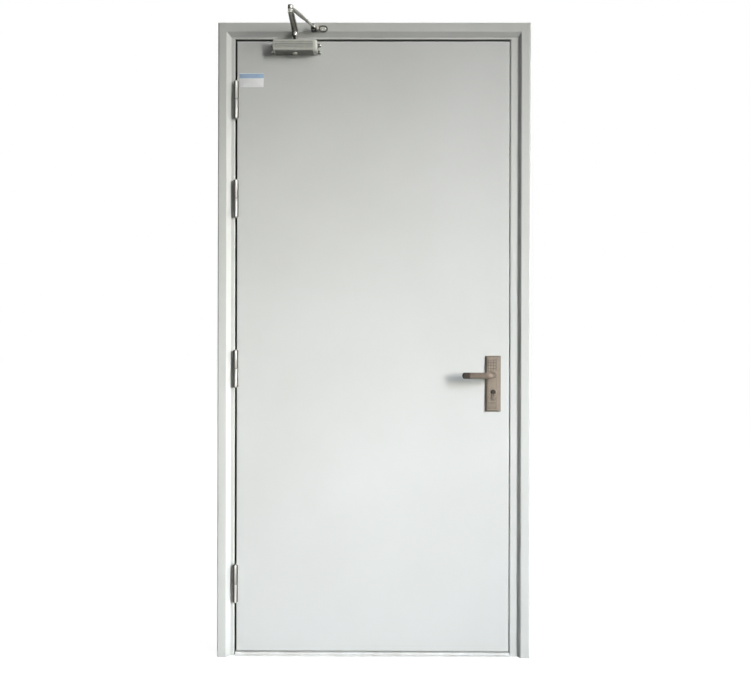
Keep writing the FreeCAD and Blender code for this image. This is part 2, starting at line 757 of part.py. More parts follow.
ARM_TOP = "(arm_low + arm_thick)"
PIN_TOP = f"({ARM_TOP} + elbow_pin_rise)"
EYE_LOW = f"({PIN_TOP} + elbow_gap)"
EYE_HIGH = f"({EYE_LOW} + eye_height)"
EYE_MIDDLE = f"({EYE_LOW} + eye_height / 2)"

arm_length, arm_place = reach("spindle", "elbow")
arm_corners = [
    ("0", "-arm_wide_end"),
    (str(arm_length), "-arm_narrow_end"),
    (str(arm_length), "arm_narrow_end"),
    ("0", "arm_wide_end"),
]
main_arm = fuse(
    "closer_main_arm",
    [
        prism("main_arm_bar", "XY", arm_corners, "arm_low", ARM_TOP),
        rod("main_arm_hub", "z", "0", "0", "arm_low", ARM_TOP, "arm_wide_end"),
        rod("main_arm_end", "z", str(arm_length), "0", "arm_low", ARM_TOP, "arm_narrow_end"),
        rod("elbow_pin", "z", str(arm_length), "0", ARM_TOP, PIN_TOP, "elbow_pin_radius"),
    ],
)
main_arm.Placement = arm_place
keep(main_arm, "closer_main_arm")


def along_x(name, start, end, radius):
    """A round bar along +X at the height of the forearm's middle."""
    bar = DOC.addObject("Part::Cylinder", name)
    bar.setExpression("Radius", bound(radius))
    bar.setExpression("Height", bound(f"({end}) - ({start})"))
    bar.Placement.Rotation = FreeCAD.Rotation(FreeCAD.Vector(0, 1, 0), 90)
    bar.setExpression("Placement.Base.x", bound(start))
    bar.setExpression("Placement.Base.z", bound(EYE_MIDDLE))
    return bar


forearm_length, forearm_place = reach("elbow", "shoe")
sleeve = fuse(
    "forearm_sleeve",
    [
        rod("elbow_eye", "z", "0", "0", EYE_LOW, EYE_HIGH, "elbow_eye_radius"),
        along_x("sleeve_tube", "0", "forearm_sleeve", "forearm_radius"),
    ],
)
sleeve.Placement = forearm_place
keep(sleeve, "forearm_sleeve")

shoe_at = str(forearm_length)
eye_blank = fuse(
    "forearm_rod_blank",
    [
        along_x("forearm_rod_bar", "forearm_sleeve", shoe_at, "rod_radius"),
        rod("shoe_eye", "z", shoe_at, "0", EYE_LOW, EYE_HIGH, "shoe_eye_radius"),
    ],
)
bore_span = around(EYE_MIDDLE, "eye_height")
eye_bore = rod("shoe_eye_bore", "z", shoe_at, "0", *bore_span, "shoe_pin_radius + pin_fit")
forearm_rod = cut("forearm_rod", eye_blank, [eye_bore])
forearm_rod.Placement = forearm_place
keep(forearm_rod, "forearm_rod")

SHOE_LUG_HIGH = f"({EYE_LOW} - shoe_gap)"
SHOE_LUG_LOW = f"({SHOE_LUG_HIGH} - shoe_lug_thick)"
shoe_front = f"{FRONT} - shoe_plate_thick"
keep(
    fuse(
        "closer_shoe",
        [
            block(
                "shoe_plate",
                ("shoe_plate_left", "shoe_plate_right"),
                (shoe_front, FRONT),
                (SHOE_LUG_LOW, "shoe_plate_high"),
            ),
            block(
                "shoe_lug",
                around("shoe_x", "shoe_eye_radius"),
                ("shoe_y", shoe_front),
                (SHOE_LUG_LOW, SHOE_LUG_HIGH),
            ),
            rod("shoe_lug_nose", "z", "shoe_x", "shoe_y", SHOE_LUG_LOW, SHOE_LUG_HIGH, "shoe_eye_radius"),
            rod("shoe_pin", "z", "shoe_x", "shoe_y", SHOE_LUG_LOW, EYE_HIGH, "shoe_pin_radius"),
        ],
    ),
    "closer_shoe",
)


# Check everything, then write one file for each sub-part

DOC.recompute()
for obj in DOC.Objects:
    if "Invalid" in obj.State or "Error" in obj.State:
        raise RuntimeError(f"{obj.Name} failed: {obj.State}")
for node in NODES:
    if node.Shape.isNull() or not node.Shape.isValid() or not node.Shape.Solids:
        raise RuntimeError(f"{node.Label} has no valid solid")

os.makedirs("parts", exist_ok=True)
for node in NODES:
    node.Shape.exportStep(f"parts/{node.Label}.step")
    box = node.Shape.BoundBox
    print(
        f"{node.Label}: {len(node.Shape.Solids)} solid, {node.Shape.Volume / 1000:.1f} cm3, "
        f"x {box.XMin:.1f}..{box.XMax:.1f} y {box.YMin:.1f}..{box.YMax:.1f} "
        f"z {box.ZMin:.1f}..{box.ZMax:.1f}"
    )
print(len(NODES), "sub-parts")
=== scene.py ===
"""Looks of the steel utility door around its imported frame: sheet metal, hardware, finishes, light, camera.

Lengths in the classes are millimetres: +X to the lock side, +Y into the wall, +Z up.
"""

import logging
from collections.abc import Sequence
from dataclasses import dataclass, replace
from enum import Enum

import bmesh
import bpy
import numpy as np
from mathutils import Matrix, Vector

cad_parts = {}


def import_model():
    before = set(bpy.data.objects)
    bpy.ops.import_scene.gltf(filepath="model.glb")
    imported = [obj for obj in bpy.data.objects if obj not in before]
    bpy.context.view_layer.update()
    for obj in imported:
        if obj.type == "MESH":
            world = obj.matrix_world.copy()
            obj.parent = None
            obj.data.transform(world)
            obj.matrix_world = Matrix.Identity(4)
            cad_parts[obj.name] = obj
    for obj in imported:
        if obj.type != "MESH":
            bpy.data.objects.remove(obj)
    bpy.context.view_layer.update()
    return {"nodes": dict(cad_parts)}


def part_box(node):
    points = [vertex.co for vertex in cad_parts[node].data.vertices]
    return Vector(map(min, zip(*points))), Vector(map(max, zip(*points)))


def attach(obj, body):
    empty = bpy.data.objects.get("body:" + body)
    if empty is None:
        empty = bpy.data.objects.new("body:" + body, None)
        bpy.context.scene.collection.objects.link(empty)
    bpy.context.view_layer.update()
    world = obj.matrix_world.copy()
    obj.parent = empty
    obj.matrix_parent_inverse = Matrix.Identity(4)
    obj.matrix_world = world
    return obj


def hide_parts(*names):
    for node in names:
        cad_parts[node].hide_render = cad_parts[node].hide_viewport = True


LOG = logging.getLogger("steel_utility_door")
MM = 0.001
MERGE = 2e-6
SHARP_EDGE = np.radians(38)
FULL_TURN = 2 * np.pi
PATINA_AND_SHADE = "patina_and_shade"
WHITE = (1, 1, 1, 1)

Array = np.ndarray
Outline = Sequence[tuple[float, float]]
Socket = bpy.types.NodeSocket


# Surfaces

@dataclass
class Surface:
    """Points in millimetres, the faces between them, and how far each point is darkened by patina or by
    painted shade, 0 to 1.
    """

    points: Array
    quads: Array
    tris: Array
    patina_and_shade: Array


class Ends(Enum):
    """How the first and last ring of a loft are closed."""

    FAN = "to the ring's middle point"
    STRIP = "the ring's first half to its second half"
    LOOP = "the last ring to the first"


class Facing(Enum):
    """The way a flat piece looks, as its own right and its own up."""

    VIEWER = ((1, 0, 0), (0, 0, 1))
    WALL = ((-1, 0, 0), (0, 0, 1))
    LOCK_SIDE = ((0, 1, 0), (0, 0, 1))
    HINGE_SIDE = ((0, -1, 0), (0, 0, 1))
    UP = ((1, 0, 0), (0, 1, 0))


def unit(vector: Array) -> Array:
    """The vector at length 1."""
    return np.asarray(vector, float) / np.linalg.norm(vector)


def smoothstep(value: Array) -> Array:
    """Rises from 0 to 1 along 3t^2 - 2t^3, and stays there on both sides."""
    t = np.clip(value, 0, 1)
    return t * t * (3 - 2 * t)


def ridge(distance: Array, width: float) -> Array:
    """A bell of height 1 about distance 0: e to the minus squared share of the width."""
    return np.exp(-(distance / width) ** 2)


def ridges(value: Array, places: Sequence[float], width: float) -> Array:
    """The sum of equal bells about several places."""
    return sum(ridge(value - at, width) for at in places)


def between(value: Array, low: float, high: float, blend: float) -> Array:
    """1 from low to high, falling to 0 at both along a smooth step over the blend."""
    return smoothstep((value - low) / blend) * smoothstep((high - value) / blend)


def grid_quads(rows: int, cols: int, wrap_rows: bool = False, wrap_cols: bool = False) -> Array:
    """The quads between neighbours of a grid of points numbered row by row.

    Args:
        rows: Number of rows.
        cols: Number of points in a row.
        wrap_rows: The last row joins the first.
        wrap_cols: The last column joins the first.

    Returns:
        One row of four point numbers for each quad.
    """
    index = np.arange(rows * cols).reshape(rows, cols)
    if wrap_rows:
        index = np.vstack([index, index[:1]])
    if wrap_cols:
        index = np.hstack([index, index[:, :1]])
    corners = [index[:-1, :-1], index[:-1, 1:], index[1:, 1:], index[1:, :-1]]
    return np.stack(corners, axis=-1).reshape(-1, 4)


def loft(rings: Array, ends: Ends = Ends.FAN, patina_and_shade: Array | None = None) -> Surface:
    """Joins closed rings of points in order: a profile carried along a path.

    Args:
        rings: Points as (ring, place in the ring, xyz).
        ends: How the first and last ring are closed.
        patina_and_shade: Darkening of each point by patina or by painted shade, as (ring, place in the ring).

    Returns:
        A closed surface.
    """
    rows, cols = rings.shape[:2]
    points = rings.reshape(-1, 3)
    dark = np.zeros(len(points)) if patina_and_shade is None else patina_and_shade.reshape(-1)
    quads = grid_quads(rows, cols, ends is Ends.LOOP, True)
    tris = np.zeros((0, 3), int)
    last_row = (rows - 1) * cols
    if ends is Ends.FAN:
        first = np.arange(cols)
        last = first + last_row
        middle = np.full(cols, len(points))
        near = np.stack([np.roll(first, -1), first, middle], axis=1)
        far = np.stack([last, np.roll(last, -1), middle + 1], axis=1)
        tris = np.vstack([near, far])
        dark = np.concatenate([dark, [dark[0], dark[-1]]])
        points = np.vstack([points, rings[[0, -1]].mean(axis=1)])
    elif ends is Ends.STRIP:
        step = np.arange(cols // 2 - 1)
        cap = np.stack([step, step + 1, cols - 2 - step, cols - 1 - step], axis=1)
        quads = np.vstack([quads, cap, cap[:, ::-1] + last_row])
    return Surface(points, quads, tris, dark)


def join(parts: Sequence[Surface]) -> Surface:
    """Several surfaces as one, with their point numbers moved on."""
    starts = np.cumsum([0] + [len(part.points) for part in parts[:-1]])
    return Surface(
        np.vstack([part.points for part in parts]),
        np.vstack([part.quads + start for part, start in zip(parts, starts)]),
        np.vstack([part.tris + start for part, start in zip(parts, starts)]),
        np.concatenate([part.patina_and_shade for part in parts]),
    )


def placed(shape: Surface, origin: Sequence[float], facing: Facing) -> Surface:
    """Puts a shape made about its own origin where it belongs.

    Args:
        shape: Points as (right, up, out).
        origin: Where its own origin goes.
        facing: The way its out side looks.

    Returns:
        The shape with points as origin + right, up and out along the facing's axes.
    """
    right, up = (np.array(axis, float) for axis in facing.value)
    axes = np.stack([right, up, np.cross(right, up)])
    return replace(shape, points=np.asarray(origin, float) + shape.points @ axes)


def lathe(
    outline: Outline,
    foot: Sequence[float],
    axis: Sequence[float] = (0, 0, 1),
    segments: int = 40,
    ends: Ends = Ends.FAN,
) -> Surface:
    """Turns an outline about an axis: foot + height along the axis + radius along a spoke at each angle.

    Args:
        outline: (radius, height) pairs in order.
        foot: The axis's point at height 0.
        axis: Direction of the axis.
        segments: Number of spokes.
        ends: How the first and last ring are closed.

    Returns:
        A closed surface of revolution.
    """
    radius, height = np.asarray(outline, float).T
    along = unit(axis)
    aside = (0, 0, 1) if abs(along[2]) < 0.9 else (0, 1, 0)
    first = unit(np.cross(along, aside))
    second = np.cross(along, first)
    angle = np.linspace(0, FULL_TURN, segments, endpoint=False)[:, None]
    spokes = np.cos(angle) * first + np.sin(angle) * second
    rings = np.asarray(foot, float) + height[:, None, None] * along + radius[:, None, None] * spokes
    return loft(rings, ends)


def rounded(corners: Outline, radii: float | Sequence[float], steps: int = 6) -> Array:
    """A closed outline whose corners give way to curves.

    Each corner is left and met one set-back along its two sides, the radius over the tangent of half
    its angle, by the quadratic curve (1-t)^2 start + 2t(1-t) corner + t^2 end. One more point on each
    side of the curve keeps the straight side's shading straight.

    Args:
        corners: Points of the outline in order.
        radii: One radius, or one for each corner.
        steps: Points on each corner's curve.

    Returns:
        Points of the outline.
    """
    corner = np.asarray(corners, float)
    back = np.roll(corner, 1, axis=0) - corner
    on = np.roll(corner, -1, axis=0) - corner
    back_length = np.linalg.norm(back, axis=1)
    on_length = np.linalg.norm(on, axis=1)
    back = back / back_length[:, None]
    on = on / on_length[:, None]
    half = np.arccos(np.clip((back * on).sum(axis=1), -1, 1)) / 2
    shorter = np.minimum(back_length, on_length)[:, None]
    wanted = (np.broadcast_to(radii, len(corner)) / np.tan(half))[:, None]
    setback = np.minimum(wanted, 0.46 * shorter)
    guard = setback + 0.03 * shorter
    start = (corner + back * setback)[:, None]
    end = (corner + on * setback)[:, None]
    t = np.linspace(0, 1, steps)[None, :, None]
    curve = (1 - t) ** 2 * start + 2 * t * (1 - t) * corner[:, None] + t**2 * end
    before = (corner + back * guard)[:, None]
    after = (corner + on * guard)[:, None]
    return np.concatenate([before, curve, after], axis=1).reshape(-1, 2)


def rounded_box(
    low: tuple[float, float], high: tuple[float, float], radii: float | Sequence[float]
) -> Array:
    """A rectangle with rounded corners, counted round from its low corner along its first side."""
    (x0, y0), (x1, y1) = low, high
    return rounded([(x0, y0), (x1, y0), (x1, y1), (x0, y1)], radii)


def shaded_left(shape: Surface, edge: float, blend: float) -> Surface:
    """Paints shade on a shape to the left of a place, the side turned from the lamps: a smooth step of (edge
    - x) over the blend.
    """
    dark = smoothstep((edge - shape.points[:, 0]) / blend)
    return replace(shape, patina_and_shade=np.maximum(shape.patina_and_shade, dark))


def slab(outline: Array, low: float, high: float, ease: float) -> Surface:
    """A plate of an outline that is star-shaped about its middle, with both edges eased.

    The rings are the outline pulled in by the ease at the low and high face and full between them.

    Args:
        outline: (right, up) points.
        low: Out position of the back.
        high: Out position of the front.
        ease: Size of the eased edge.

    Returns:
        A closed plate as (right, up, out).
    """
    middle = outline.mean(axis=0)
    out = outline - middle
    length = np.linalg.norm(out, axis=1, keepdims=True)
    pulls = np.array([1, 0.3, 0, 0, 0.3, 1]) * ease
    levels = np.array([low, low + 0.3 * ease, low + ease, high - ease, high - 0.3 * ease, high])
    flat = middle + out * (1 - pulls[:, None, None] / length)
    level = np.broadcast_to(levels[:, None, None], flat.shape[:2] + (1,))
    return loft(np.concatenate([flat, level], axis=2))


def screw(radius: float, segments: int = 36) -> Surface:
    """A cross-slotted screw head on a polar grid, looking out from its own origin.

    Height is a shallow dome, less a recess where the smaller of |right| and |up| is within the slot's
    half-width and the larger is within its reach.

    Args:
        radius: Radius of the head.
        segments: Number of spokes.

    Returns:
        A closed head as (right, up, out), dark in its slot as painted shade.
    """
    share = np.concatenate([[1, 1], np.linspace(0.97, 0.03, 13)])[:, None]
    angle = np.linspace(0, FULL_TURN, segments, endpoint=False)[None, :]
    right = share * radius * np.cos(angle)
    up = share * radius * np.sin(angle)
    narrow = np.minimum(abs(right), abs(up))
    wide = np.maximum(abs(right), abs(up))
    blend = 0.1 * radius
    slot = smoothstep((0.2 * radius - narrow) / blend) * smoothstep((0.72 * radius - wide) / blend)
    out = 0.28 * radius * (1 - share**2) + 0.02 * radius - 0.45 * radius * slot
    out[0] = -0.3 * radius
    # The slot's darkness is painted shade.
    return loft(np.stack([right, up, out], axis=2), Ends.FAN, slot)


def screws(centres: Sequence[Sequence[float]], radius: float, facing: Facing) -> Surface:
    """The same screw head at several places."""
    head = screw(radius)
    return join([placed(head, centre, facing) for centre in centres])


def relief(right: Array, up: Array, height: Array, dark: Array, corner: float) -> Surface:
    """A plate whose front is a height over a grid, with a skirt to its back and a closed back.

    Grid points outside the plate's rounded corners move to the corner's arc.

    Args:
        right: Grid places across.
        up: Grid places upwards.
        height: Out position at each (right, up).
        dark: Darkening at each (right, up).
        corner: Radius of the plate's corners.

    Returns:
        A closed plate as (right, up, out) with its back at 0.
    """
    plan = np.stack(np.meshgrid(right, up, indexing="ij"), axis=-1)
    middle = np.array([right[0] + right[-1], up[0] + up[-1]]) / 2
    half = np.array([right[-1] - right[0], up[-1] - up[0]]) / 2
    over = np.maximum(abs(plan - middle) - (half - corner), 0)
    length = np.maximum(np.linalg.norm(over, axis=-1, keepdims=True), 1e-9)
    plan = plan - np.sign(plan - middle) * over * np.maximum(1 - corner / length, 0)
    top = np.concatenate([plan, height[..., None]], axis=-1).reshape(-1, 3)
    index = np.arange(len(top)).reshape(height.shape)
    edge = np.concatenate([index[:, 0], index[-1, 1:], index[-2::-1, -1], index[0, -2:0:-1]])
    foot = top[edge] * (1, 1, 0)
    below = len(top) + np.arange(len(edge))
    skirt = np.stack([edge, np.roll(edge, -1), np.roll(below, -1), below], axis=1)
    centre = np.full(len(edge), len(top) + len(edge))
    back = np.stack([below, np.roll(below, -1), centre], axis=1)
    points = np.vstack([top, foot, [[*middle, 0]]])
    patina_and_shade = np.concatenate([dark.reshape(-1), np.zeros(len(edge) + 1)])
    return Surface(points, np.vstack([grid_quads(*height.shape), skirt]), back, patina_and_shade)


# Finishes

def linear(colour: str) -> tuple[float, float, float, float]:
    """An sRGB hex colour as linear red, green, blue and full alpha."""
    code = colour.lstrip("#")
    value = np.array([int(code[at : at + 2], 16) for at in (0, 2, 4)]) / 255
    low = value / 12.92
    high = ((value + 0.055) / 1.055) ** 2.4
    return (*np.where(value <= 0.04045, low, high).tolist(), 1.0)


@dataclass
class Nodes:
    """A node tree being filled: most methods add one node and return the socket that carries its result."""

    tree: bpy.types.NodeTree

    def add(self, kind: str, settings: dict | None = None, inputs: dict | None = None) -> bpy.types.Node:
        """Adds a node.

        Args:
            kind: The node's type.
            settings: Properties of the node by name.
            inputs: A value, or a socket to link from, for input sockets by name or number.

        Returns:
            The new node.
        """
        made = self.tree.nodes.new(kind)
        for key, value in (settings or {}).items():
            setattr(made, key, value)
        for key, value in (inputs or {}).items():
            if isinstance(value, bpy.types.NodeSocket):
                self.tree.links.new(value, made.inputs[key])
            else:
                made.inputs[key].default_value = value
        return made

    def place(self) -> Socket:
        """The place on the object, in its own coordinates."""
        return self.add("ShaderNodeTexCoord").outputs["Object"]

    def height(self) -> Socket:
        """The height on the object."""
        return self.add("ShaderNodeSeparateXYZ", {}, {"Vector": self.place()}).outputs["Z"]

    def patina_and_shade(self) -> Socket:
        """How far the surface is darkened, by patina or by painted shade."""
        return self.add("ShaderNodeAttribute", {"attribute_name": PATINA_AND_SHADE}).outputs["Fac"]

    def noise(self, place: Socket, size_mm: float, detail: float) -> Socket:
        """Noise with features of a size."""
        inputs = {"Vector": place, "Scale": 1 / (size_mm * MM), "Detail": detail}
        return self.add("ShaderNodeTexNoise", {}, inputs).outputs[0]

    def span(self, value: Socket, start: float, end: float, low: float = 0, high: float = 1) -> Socket:
        """Maps start to end on to low to high, and holds both ends."""
        inputs = {"Value": value, "From Min": start, "From Max": end, "To Min": low, "To Max": high}
        return self.add("ShaderNodeMapRange", {}, inputs).outputs[0]

    def math(self, operation: str, *values: Socket | float) -> Socket:
        """One step of arithmetic."""
        return self.add("ShaderNodeMath", {"operation": operation}, dict(enumerate(values))).outputs[0]

    def mix(self, share: Socket, base: Socket | str, over: str) -> Socket:
        """Passes from a base, a socket or a hex colour, to a hex colour as the share rises."""
        first = linear(base) if isinstance(base, str) else base
        inputs = {0: share, 6: first, 7: linear(over)}
        return self.add("ShaderNodeMix", {"data_type": "RGBA"}, inputs).outputs[2]

    def bump(self, height: Socket, strength: float, depth_mm: float) -> Socket:
        """A normal that follows a height."""
        inputs = {"Strength": strength, "Distance": depth_mm * MM, "Height": height}
        return self.add("ShaderNodeBump", {}, inputs).outputs[0]

    def principled(self, inputs: dict) -> Socket:
        """A surface with the inputs given by name."""
        return self.add("ShaderNodeBsdfPrincipled", {}, inputs).outputs[0]


def emptied(holder: bpy.types.Material | bpy.types.World) -> Nodes:
    """A new material's or world's tree, with nothing in it."""
    holder.use_nodes = True
    holder.node_tree.nodes.clear()
    return Nodes(holder.node_tree)


class Finish:
    """A finish that makes its material once, under its own name."""

    name: str
    colour: str

    def shader(self, nodes: Nodes) -> Socket:
        """The finish's surface shader."""
        raise NotImplementedError

    def material(self) -> bpy.types.Material:
        """The finish's material, made at its first use.

        Returns:
            The material.
        """
        made = bpy.data.materials.get(self.name)
        if made is None:
            made = bpy.data.materials.new(self.name)
            nodes = emptied(made)
            nodes.add("ShaderNodeOutputMaterial", {}, {"Surface": self.shader(nodes)})
            made.diffuse_color = linear(self.colour)
        return made


@dataclass(frozen=True)
class PowderCoat(Finish):
    """Sprayed and baked polyester powder on sheet steel: a soft gloss with a faint orange peel."""

    name: str
    colour: str
    shade: str
    dust: str = "#A9A79F"
    painted_shade: str = "#1E1D1A"
    roughness: float = 0.42
    peel_mm: float = 2.4
    peel_depth_mm: float = 0.05
    speck_mm: float = 14
    cloud_mm: float = 420
    dust_height_mm: float = 55
    dust_most: float = 0.25

    def shader(self, nodes: Nodes) -> Socket:
        """Colour drifts over large clouds, greys with dust near the floor, and darkens towards a painted
        shade colour in rebates and along an edge.

        Args:
            nodes: The material's nodes.

        Returns:
            The surface shader.
        """
        place = nodes.place()
        cloud = nodes.span(nodes.noise(place, self.cloud_mm, 4), 0.35, 0.65)
        specks = nodes.noise(place, self.speck_mm, 6)
        near_floor = nodes.span(nodes.height(), 0, self.dust_height_mm * MM, self.dust_most, 0)
        tone = nodes.mix(cloud, self.colour, self.shade)
        greyed = nodes.mix(nodes.math("MULTIPLY", near_floor, specks), tone, self.dust)
        # Painted shade: the patina-and-shade attribute takes the colour towards the painted shade colour.
        colour = nodes.mix(nodes.patina_and_shade(), greyed, self.painted_shade)
        gloss = nodes.span(specks, 0.3, 0.7, self.roughness - 0.05, self.roughness + 0.07)
        bump = nodes.bump(nodes.noise(place, self.peel_mm, 2), 0.35, self.peel_depth_mm)
        return nodes.principled({"Base Color": colour, "Roughness": gloss, "Normal": bump, "IOR": 1.5})


class Grain(Enum):
    """The direction a metal was brushed or drawn in, as how far a pattern is stretched along X, Y and Z."""

    ALONG_X = (0.03, 1.0, 1.0)
    ALONG_Z = (1.0, 1.0, 0.03)
    NONE = (1.0, 1.0, 1.0)


@dataclass(frozen=True)
class Metal(Finish):
    """Bare or plated metal: brushed lines break up its gloss, and it darkens where a piece carries patina or
    painted shade.
    """

    name: str
    colour: str
    shade: str
    dark: str
    roughness: float = 0.32
    metallic: float = 1.0
    grain: Grain = Grain.NONE
    grain_mm: float = 1.2
    grain_depth_mm: float = 0.03
    mottle_mm: float = 18

    def shader(self, nodes: Nodes) -> Socket:
        """Stretched noise gives the brushing, broad noise the mottling, and the patina-and-shade attribute
        the dark recesses and the painted shade.

        Args:
            nodes: The material's nodes.

        Returns:
            The surface shader.
        """
        place = nodes.place()
        drawn = nodes.add("ShaderNodeMapping", {}, {"Vector": place, "Scale": self.grain.value}).outputs[0]
        lines = nodes.noise(drawn, self.grain_mm, 3)
        worn = nodes.span(nodes.noise(place, self.mottle_mm, 5), 0.35, 0.7)
        tone = nodes.mix(worn, self.colour, self.shade)
        colour = nodes.mix(nodes.patina_and_shade(), tone, self.dark)
        gloss = nodes.span(lines, 0.3, 0.7, self.roughness - 0.07, self.roughness + 0.1)
        bump = nodes.bump(lines, 0.3, self.grain_depth_mm)
        return nodes.principled(
            {"Base Color": colour, "Metallic": self.metallic, "Roughness": gloss, "Normal": bump}
        )


@dataclass(frozen=True)
class Rubber(Finish):
    """Extruded EPDM rubber: near-black and matt, greyed by dust."""

    name: str
    colour: str
    dust: str
    roughness: float = 0.75
    speck_mm: float = 3.5
    speck_depth_mm: float = 0.1

    def shader(self, nodes: Nodes) -> Socket:
        """Fine specks of dust over a dark matt base.

        Args:
            nodes: The material's nodes.

        Returns:
            The surface shader.
        """
        specks = nodes.noise(nodes.place(), self.speck_mm, 5)
        colour = nodes.mix(nodes.span(specks, 0.45, 0.8, 0, 0.5), self.colour, self.dust)
        bump = nodes.bump(specks, 0.3, self.speck_depth_mm)
        return nodes.principled({"Base Color": colour, "Roughness": self.roughness, "Normal": bump})


@dataclass(frozen=True)
class Vinyl(Finish):
    """A blank printed sticker: white film, and one band of colour near its top."""

    name: str
    colour: str
    band: str
    rule: str
    band_low_mm: float
    band_high_mm: float
    rule_pitch_mm: float = 7.0
    rule_share: float = 0.16
    roughness: float = 0.35

    def shader(self, nodes: Nodes) -> Socket:
        """The band lies between two heights, and faint ruled lines repeat elsewhere.

        Args:
            nodes: The material's nodes.

        Returns:
            The surface shader.
        """
        height = nodes.height()
        middle = (self.band_low_mm + self.band_high_mm) / 2
        half = (self.band_high_mm - self.band_low_mm) / 2
        in_band = nodes.math("COMPARE", height, middle * MM, half * MM)
        pitch = nodes.math("MULTIPLY", height, 1 / (self.rule_pitch_mm * MM))
        line = nodes.math("LESS_THAN", nodes.math("FRACT", pitch), self.rule_share)
        film = nodes.mix(nodes.math("MULTIPLY", line, 0.5), self.colour, self.rule)
        colour = nodes.mix(in_band, film, self.band)
        return nodes.principled({"Base Color": colour, "Roughness": self.roughness, "IOR": 1.45})


FRAME_PAINT = PowderCoat("powder_coated_frame_steel", "#DCDEDB", "#D6D8D4")
LEAF_PAINT = PowderCoat("powder_coated_leaf_steel", "#DDDFDD", "#D8DAD7", dust_most=0.12)
SILL_PAINT = PowderCoat(
    "trodden_sill_paint", "#F0F1EF", "#DEDEDA", roughness=0.5, cloud_mm=60, dust_most=0.35
)
SEAL_RUBBER = Rubber("epdm_seal_rubber", "#1B1C1B", "#4B4B48")
HINGE_STEEL = Metal(
    "brushed_stainless_hinge", "#E8E6E1", "#DCDAD4", "#2B2723", 0.5, metallic=0.7, grain=Grain.ALONG_Z
)
EDGE_STEEL = Metal("satin_zinc_plate", "#A8A9A8", "#979998", "#3E3E3C", 0.36, grain=Grain.ALONG_Z)
PLATE_METAL = Metal(
    "antique_nickel_plate", "#938879", "#867B6E", "#362B23", 0.58, metallic=0.3, grain=Grain.ALONG_Z
)
LEVER_METAL = Metal(
    "antique_nickel_lever", "#7A6E61", "#6D6155", "#1E1713", 0.5, metallic=0.35, grain=Grain.ALONG_X
)
CYLINDER_METAL = Metal("aged_nickel_cylinder", "#95887A", "#877A6C", "#2B241C", 0.5, metallic=0.35)
CLOSER_PAINT = Metal(
    "silver_lacquered_casting", "#C6C7BF", "#BCBDB5", "#4C4C48", 0.48, metallic=0.35, grain_mm=0.9
)
ARM_STEEL = Metal("lacquered_arm_steel", "#AEADA6", "#9E9D96", "#1C1C1A", 0.42, metallic=0.8)
BRIGHT_STEEL = Metal("bright_zinc_steel", "#C4C3BD", "#B0AFA8", "#33322F", 0.24)
LABEL_VINYL = Vinyl("blank_label_vinyl", "#FCFEFF", "#AFC9E6", "#EEF3F8", 1927.5, 1942)


# Pieces

def show(
    name: str,
    shape: Surface,
    finish: Finish,
    body: str,
    stands_for: Sequence[str] = (),
) -> bpy.types.Object:
    """Makes a surface a piece of the door.

    Args:
        name: The piece's name.
        shape: Its surface.
        finish: Its finish.
        body: The body that it moves with.
        stands_for: The solids that it is shown in place of.

    Returns:
        The piece.
    """
    mesh = bpy.data.meshes.new(name)
    mesh.from_pydata((shape.points * MM).tolist(), [], shape.quads.tolist() + shape.tris.tolist())
    mesh.attributes.new(PATINA_AND_SHADE, "FLOAT", "POINT").data.foreach_set("value", shape.patina_and_shade.astype(np.float32))
    shell = bmesh.new()
    shell.from_mesh(mesh)
    bmesh.ops.remove_doubles(shell, verts=shell.verts, dist=MERGE)
    bmesh.ops.dissolve_degenerate(shell, edges=shell.edges, dist=MERGE)
    bmesh.ops.recalc_face_normals(shell, faces=shell.faces)
    shell.to_mesh(mesh)
    shell.free()
    mesh.polygons.foreach_set("use_smooth", np.ones(len(mesh.polygons), bool))
    mesh.set_sharp_from_angle(angle=SHARP_EDGE)
    mesh.materials.append(finish.material())
    made = bpy.data.objects.new(name, mesh)
    bpy.context.scene.collection.objects.link(made)
    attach(made, body)
    if stands_for:
        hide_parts(*stands_for)
    LOG.info("%s: %d faces on %s", name, len(mesh.polygons), body)
    return made


def dress(nodes: dict[str, bpy.types.Object], names: Sequence[str], finish: Finish) -> None:
    """Gives solids that are shown as they are a finish.

    Args:
        nodes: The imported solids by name.
        names: The ones to dress.
        finish: Their finish.
    """
    for name in names:
        held = nodes[name]
        if not held.data.materials:
            held.data.materials.append(finish.material())
        for place in held.material_slots:
            place.material = finish.material()
        LOG.info("%s: solid in %s", name, finish.name)


@dataclass(frozen=True)
class Fold:
    """Where one member's sheet bends, in from its outer edge: flat, slope, face up to the rebate, soffit."""

    flat: float
    slope: float
    face: float
    soffit: float
    # How much painted shade the outer edge and the rebate carry.
    edge_shade: float = 0
    rebate_shade: float = 1

    def bends(self) -> list[float]:
        """The places of the bends, outer edge first."""
        return [0, self.flat, self.flat + self.slope, self.face, self.soffit]


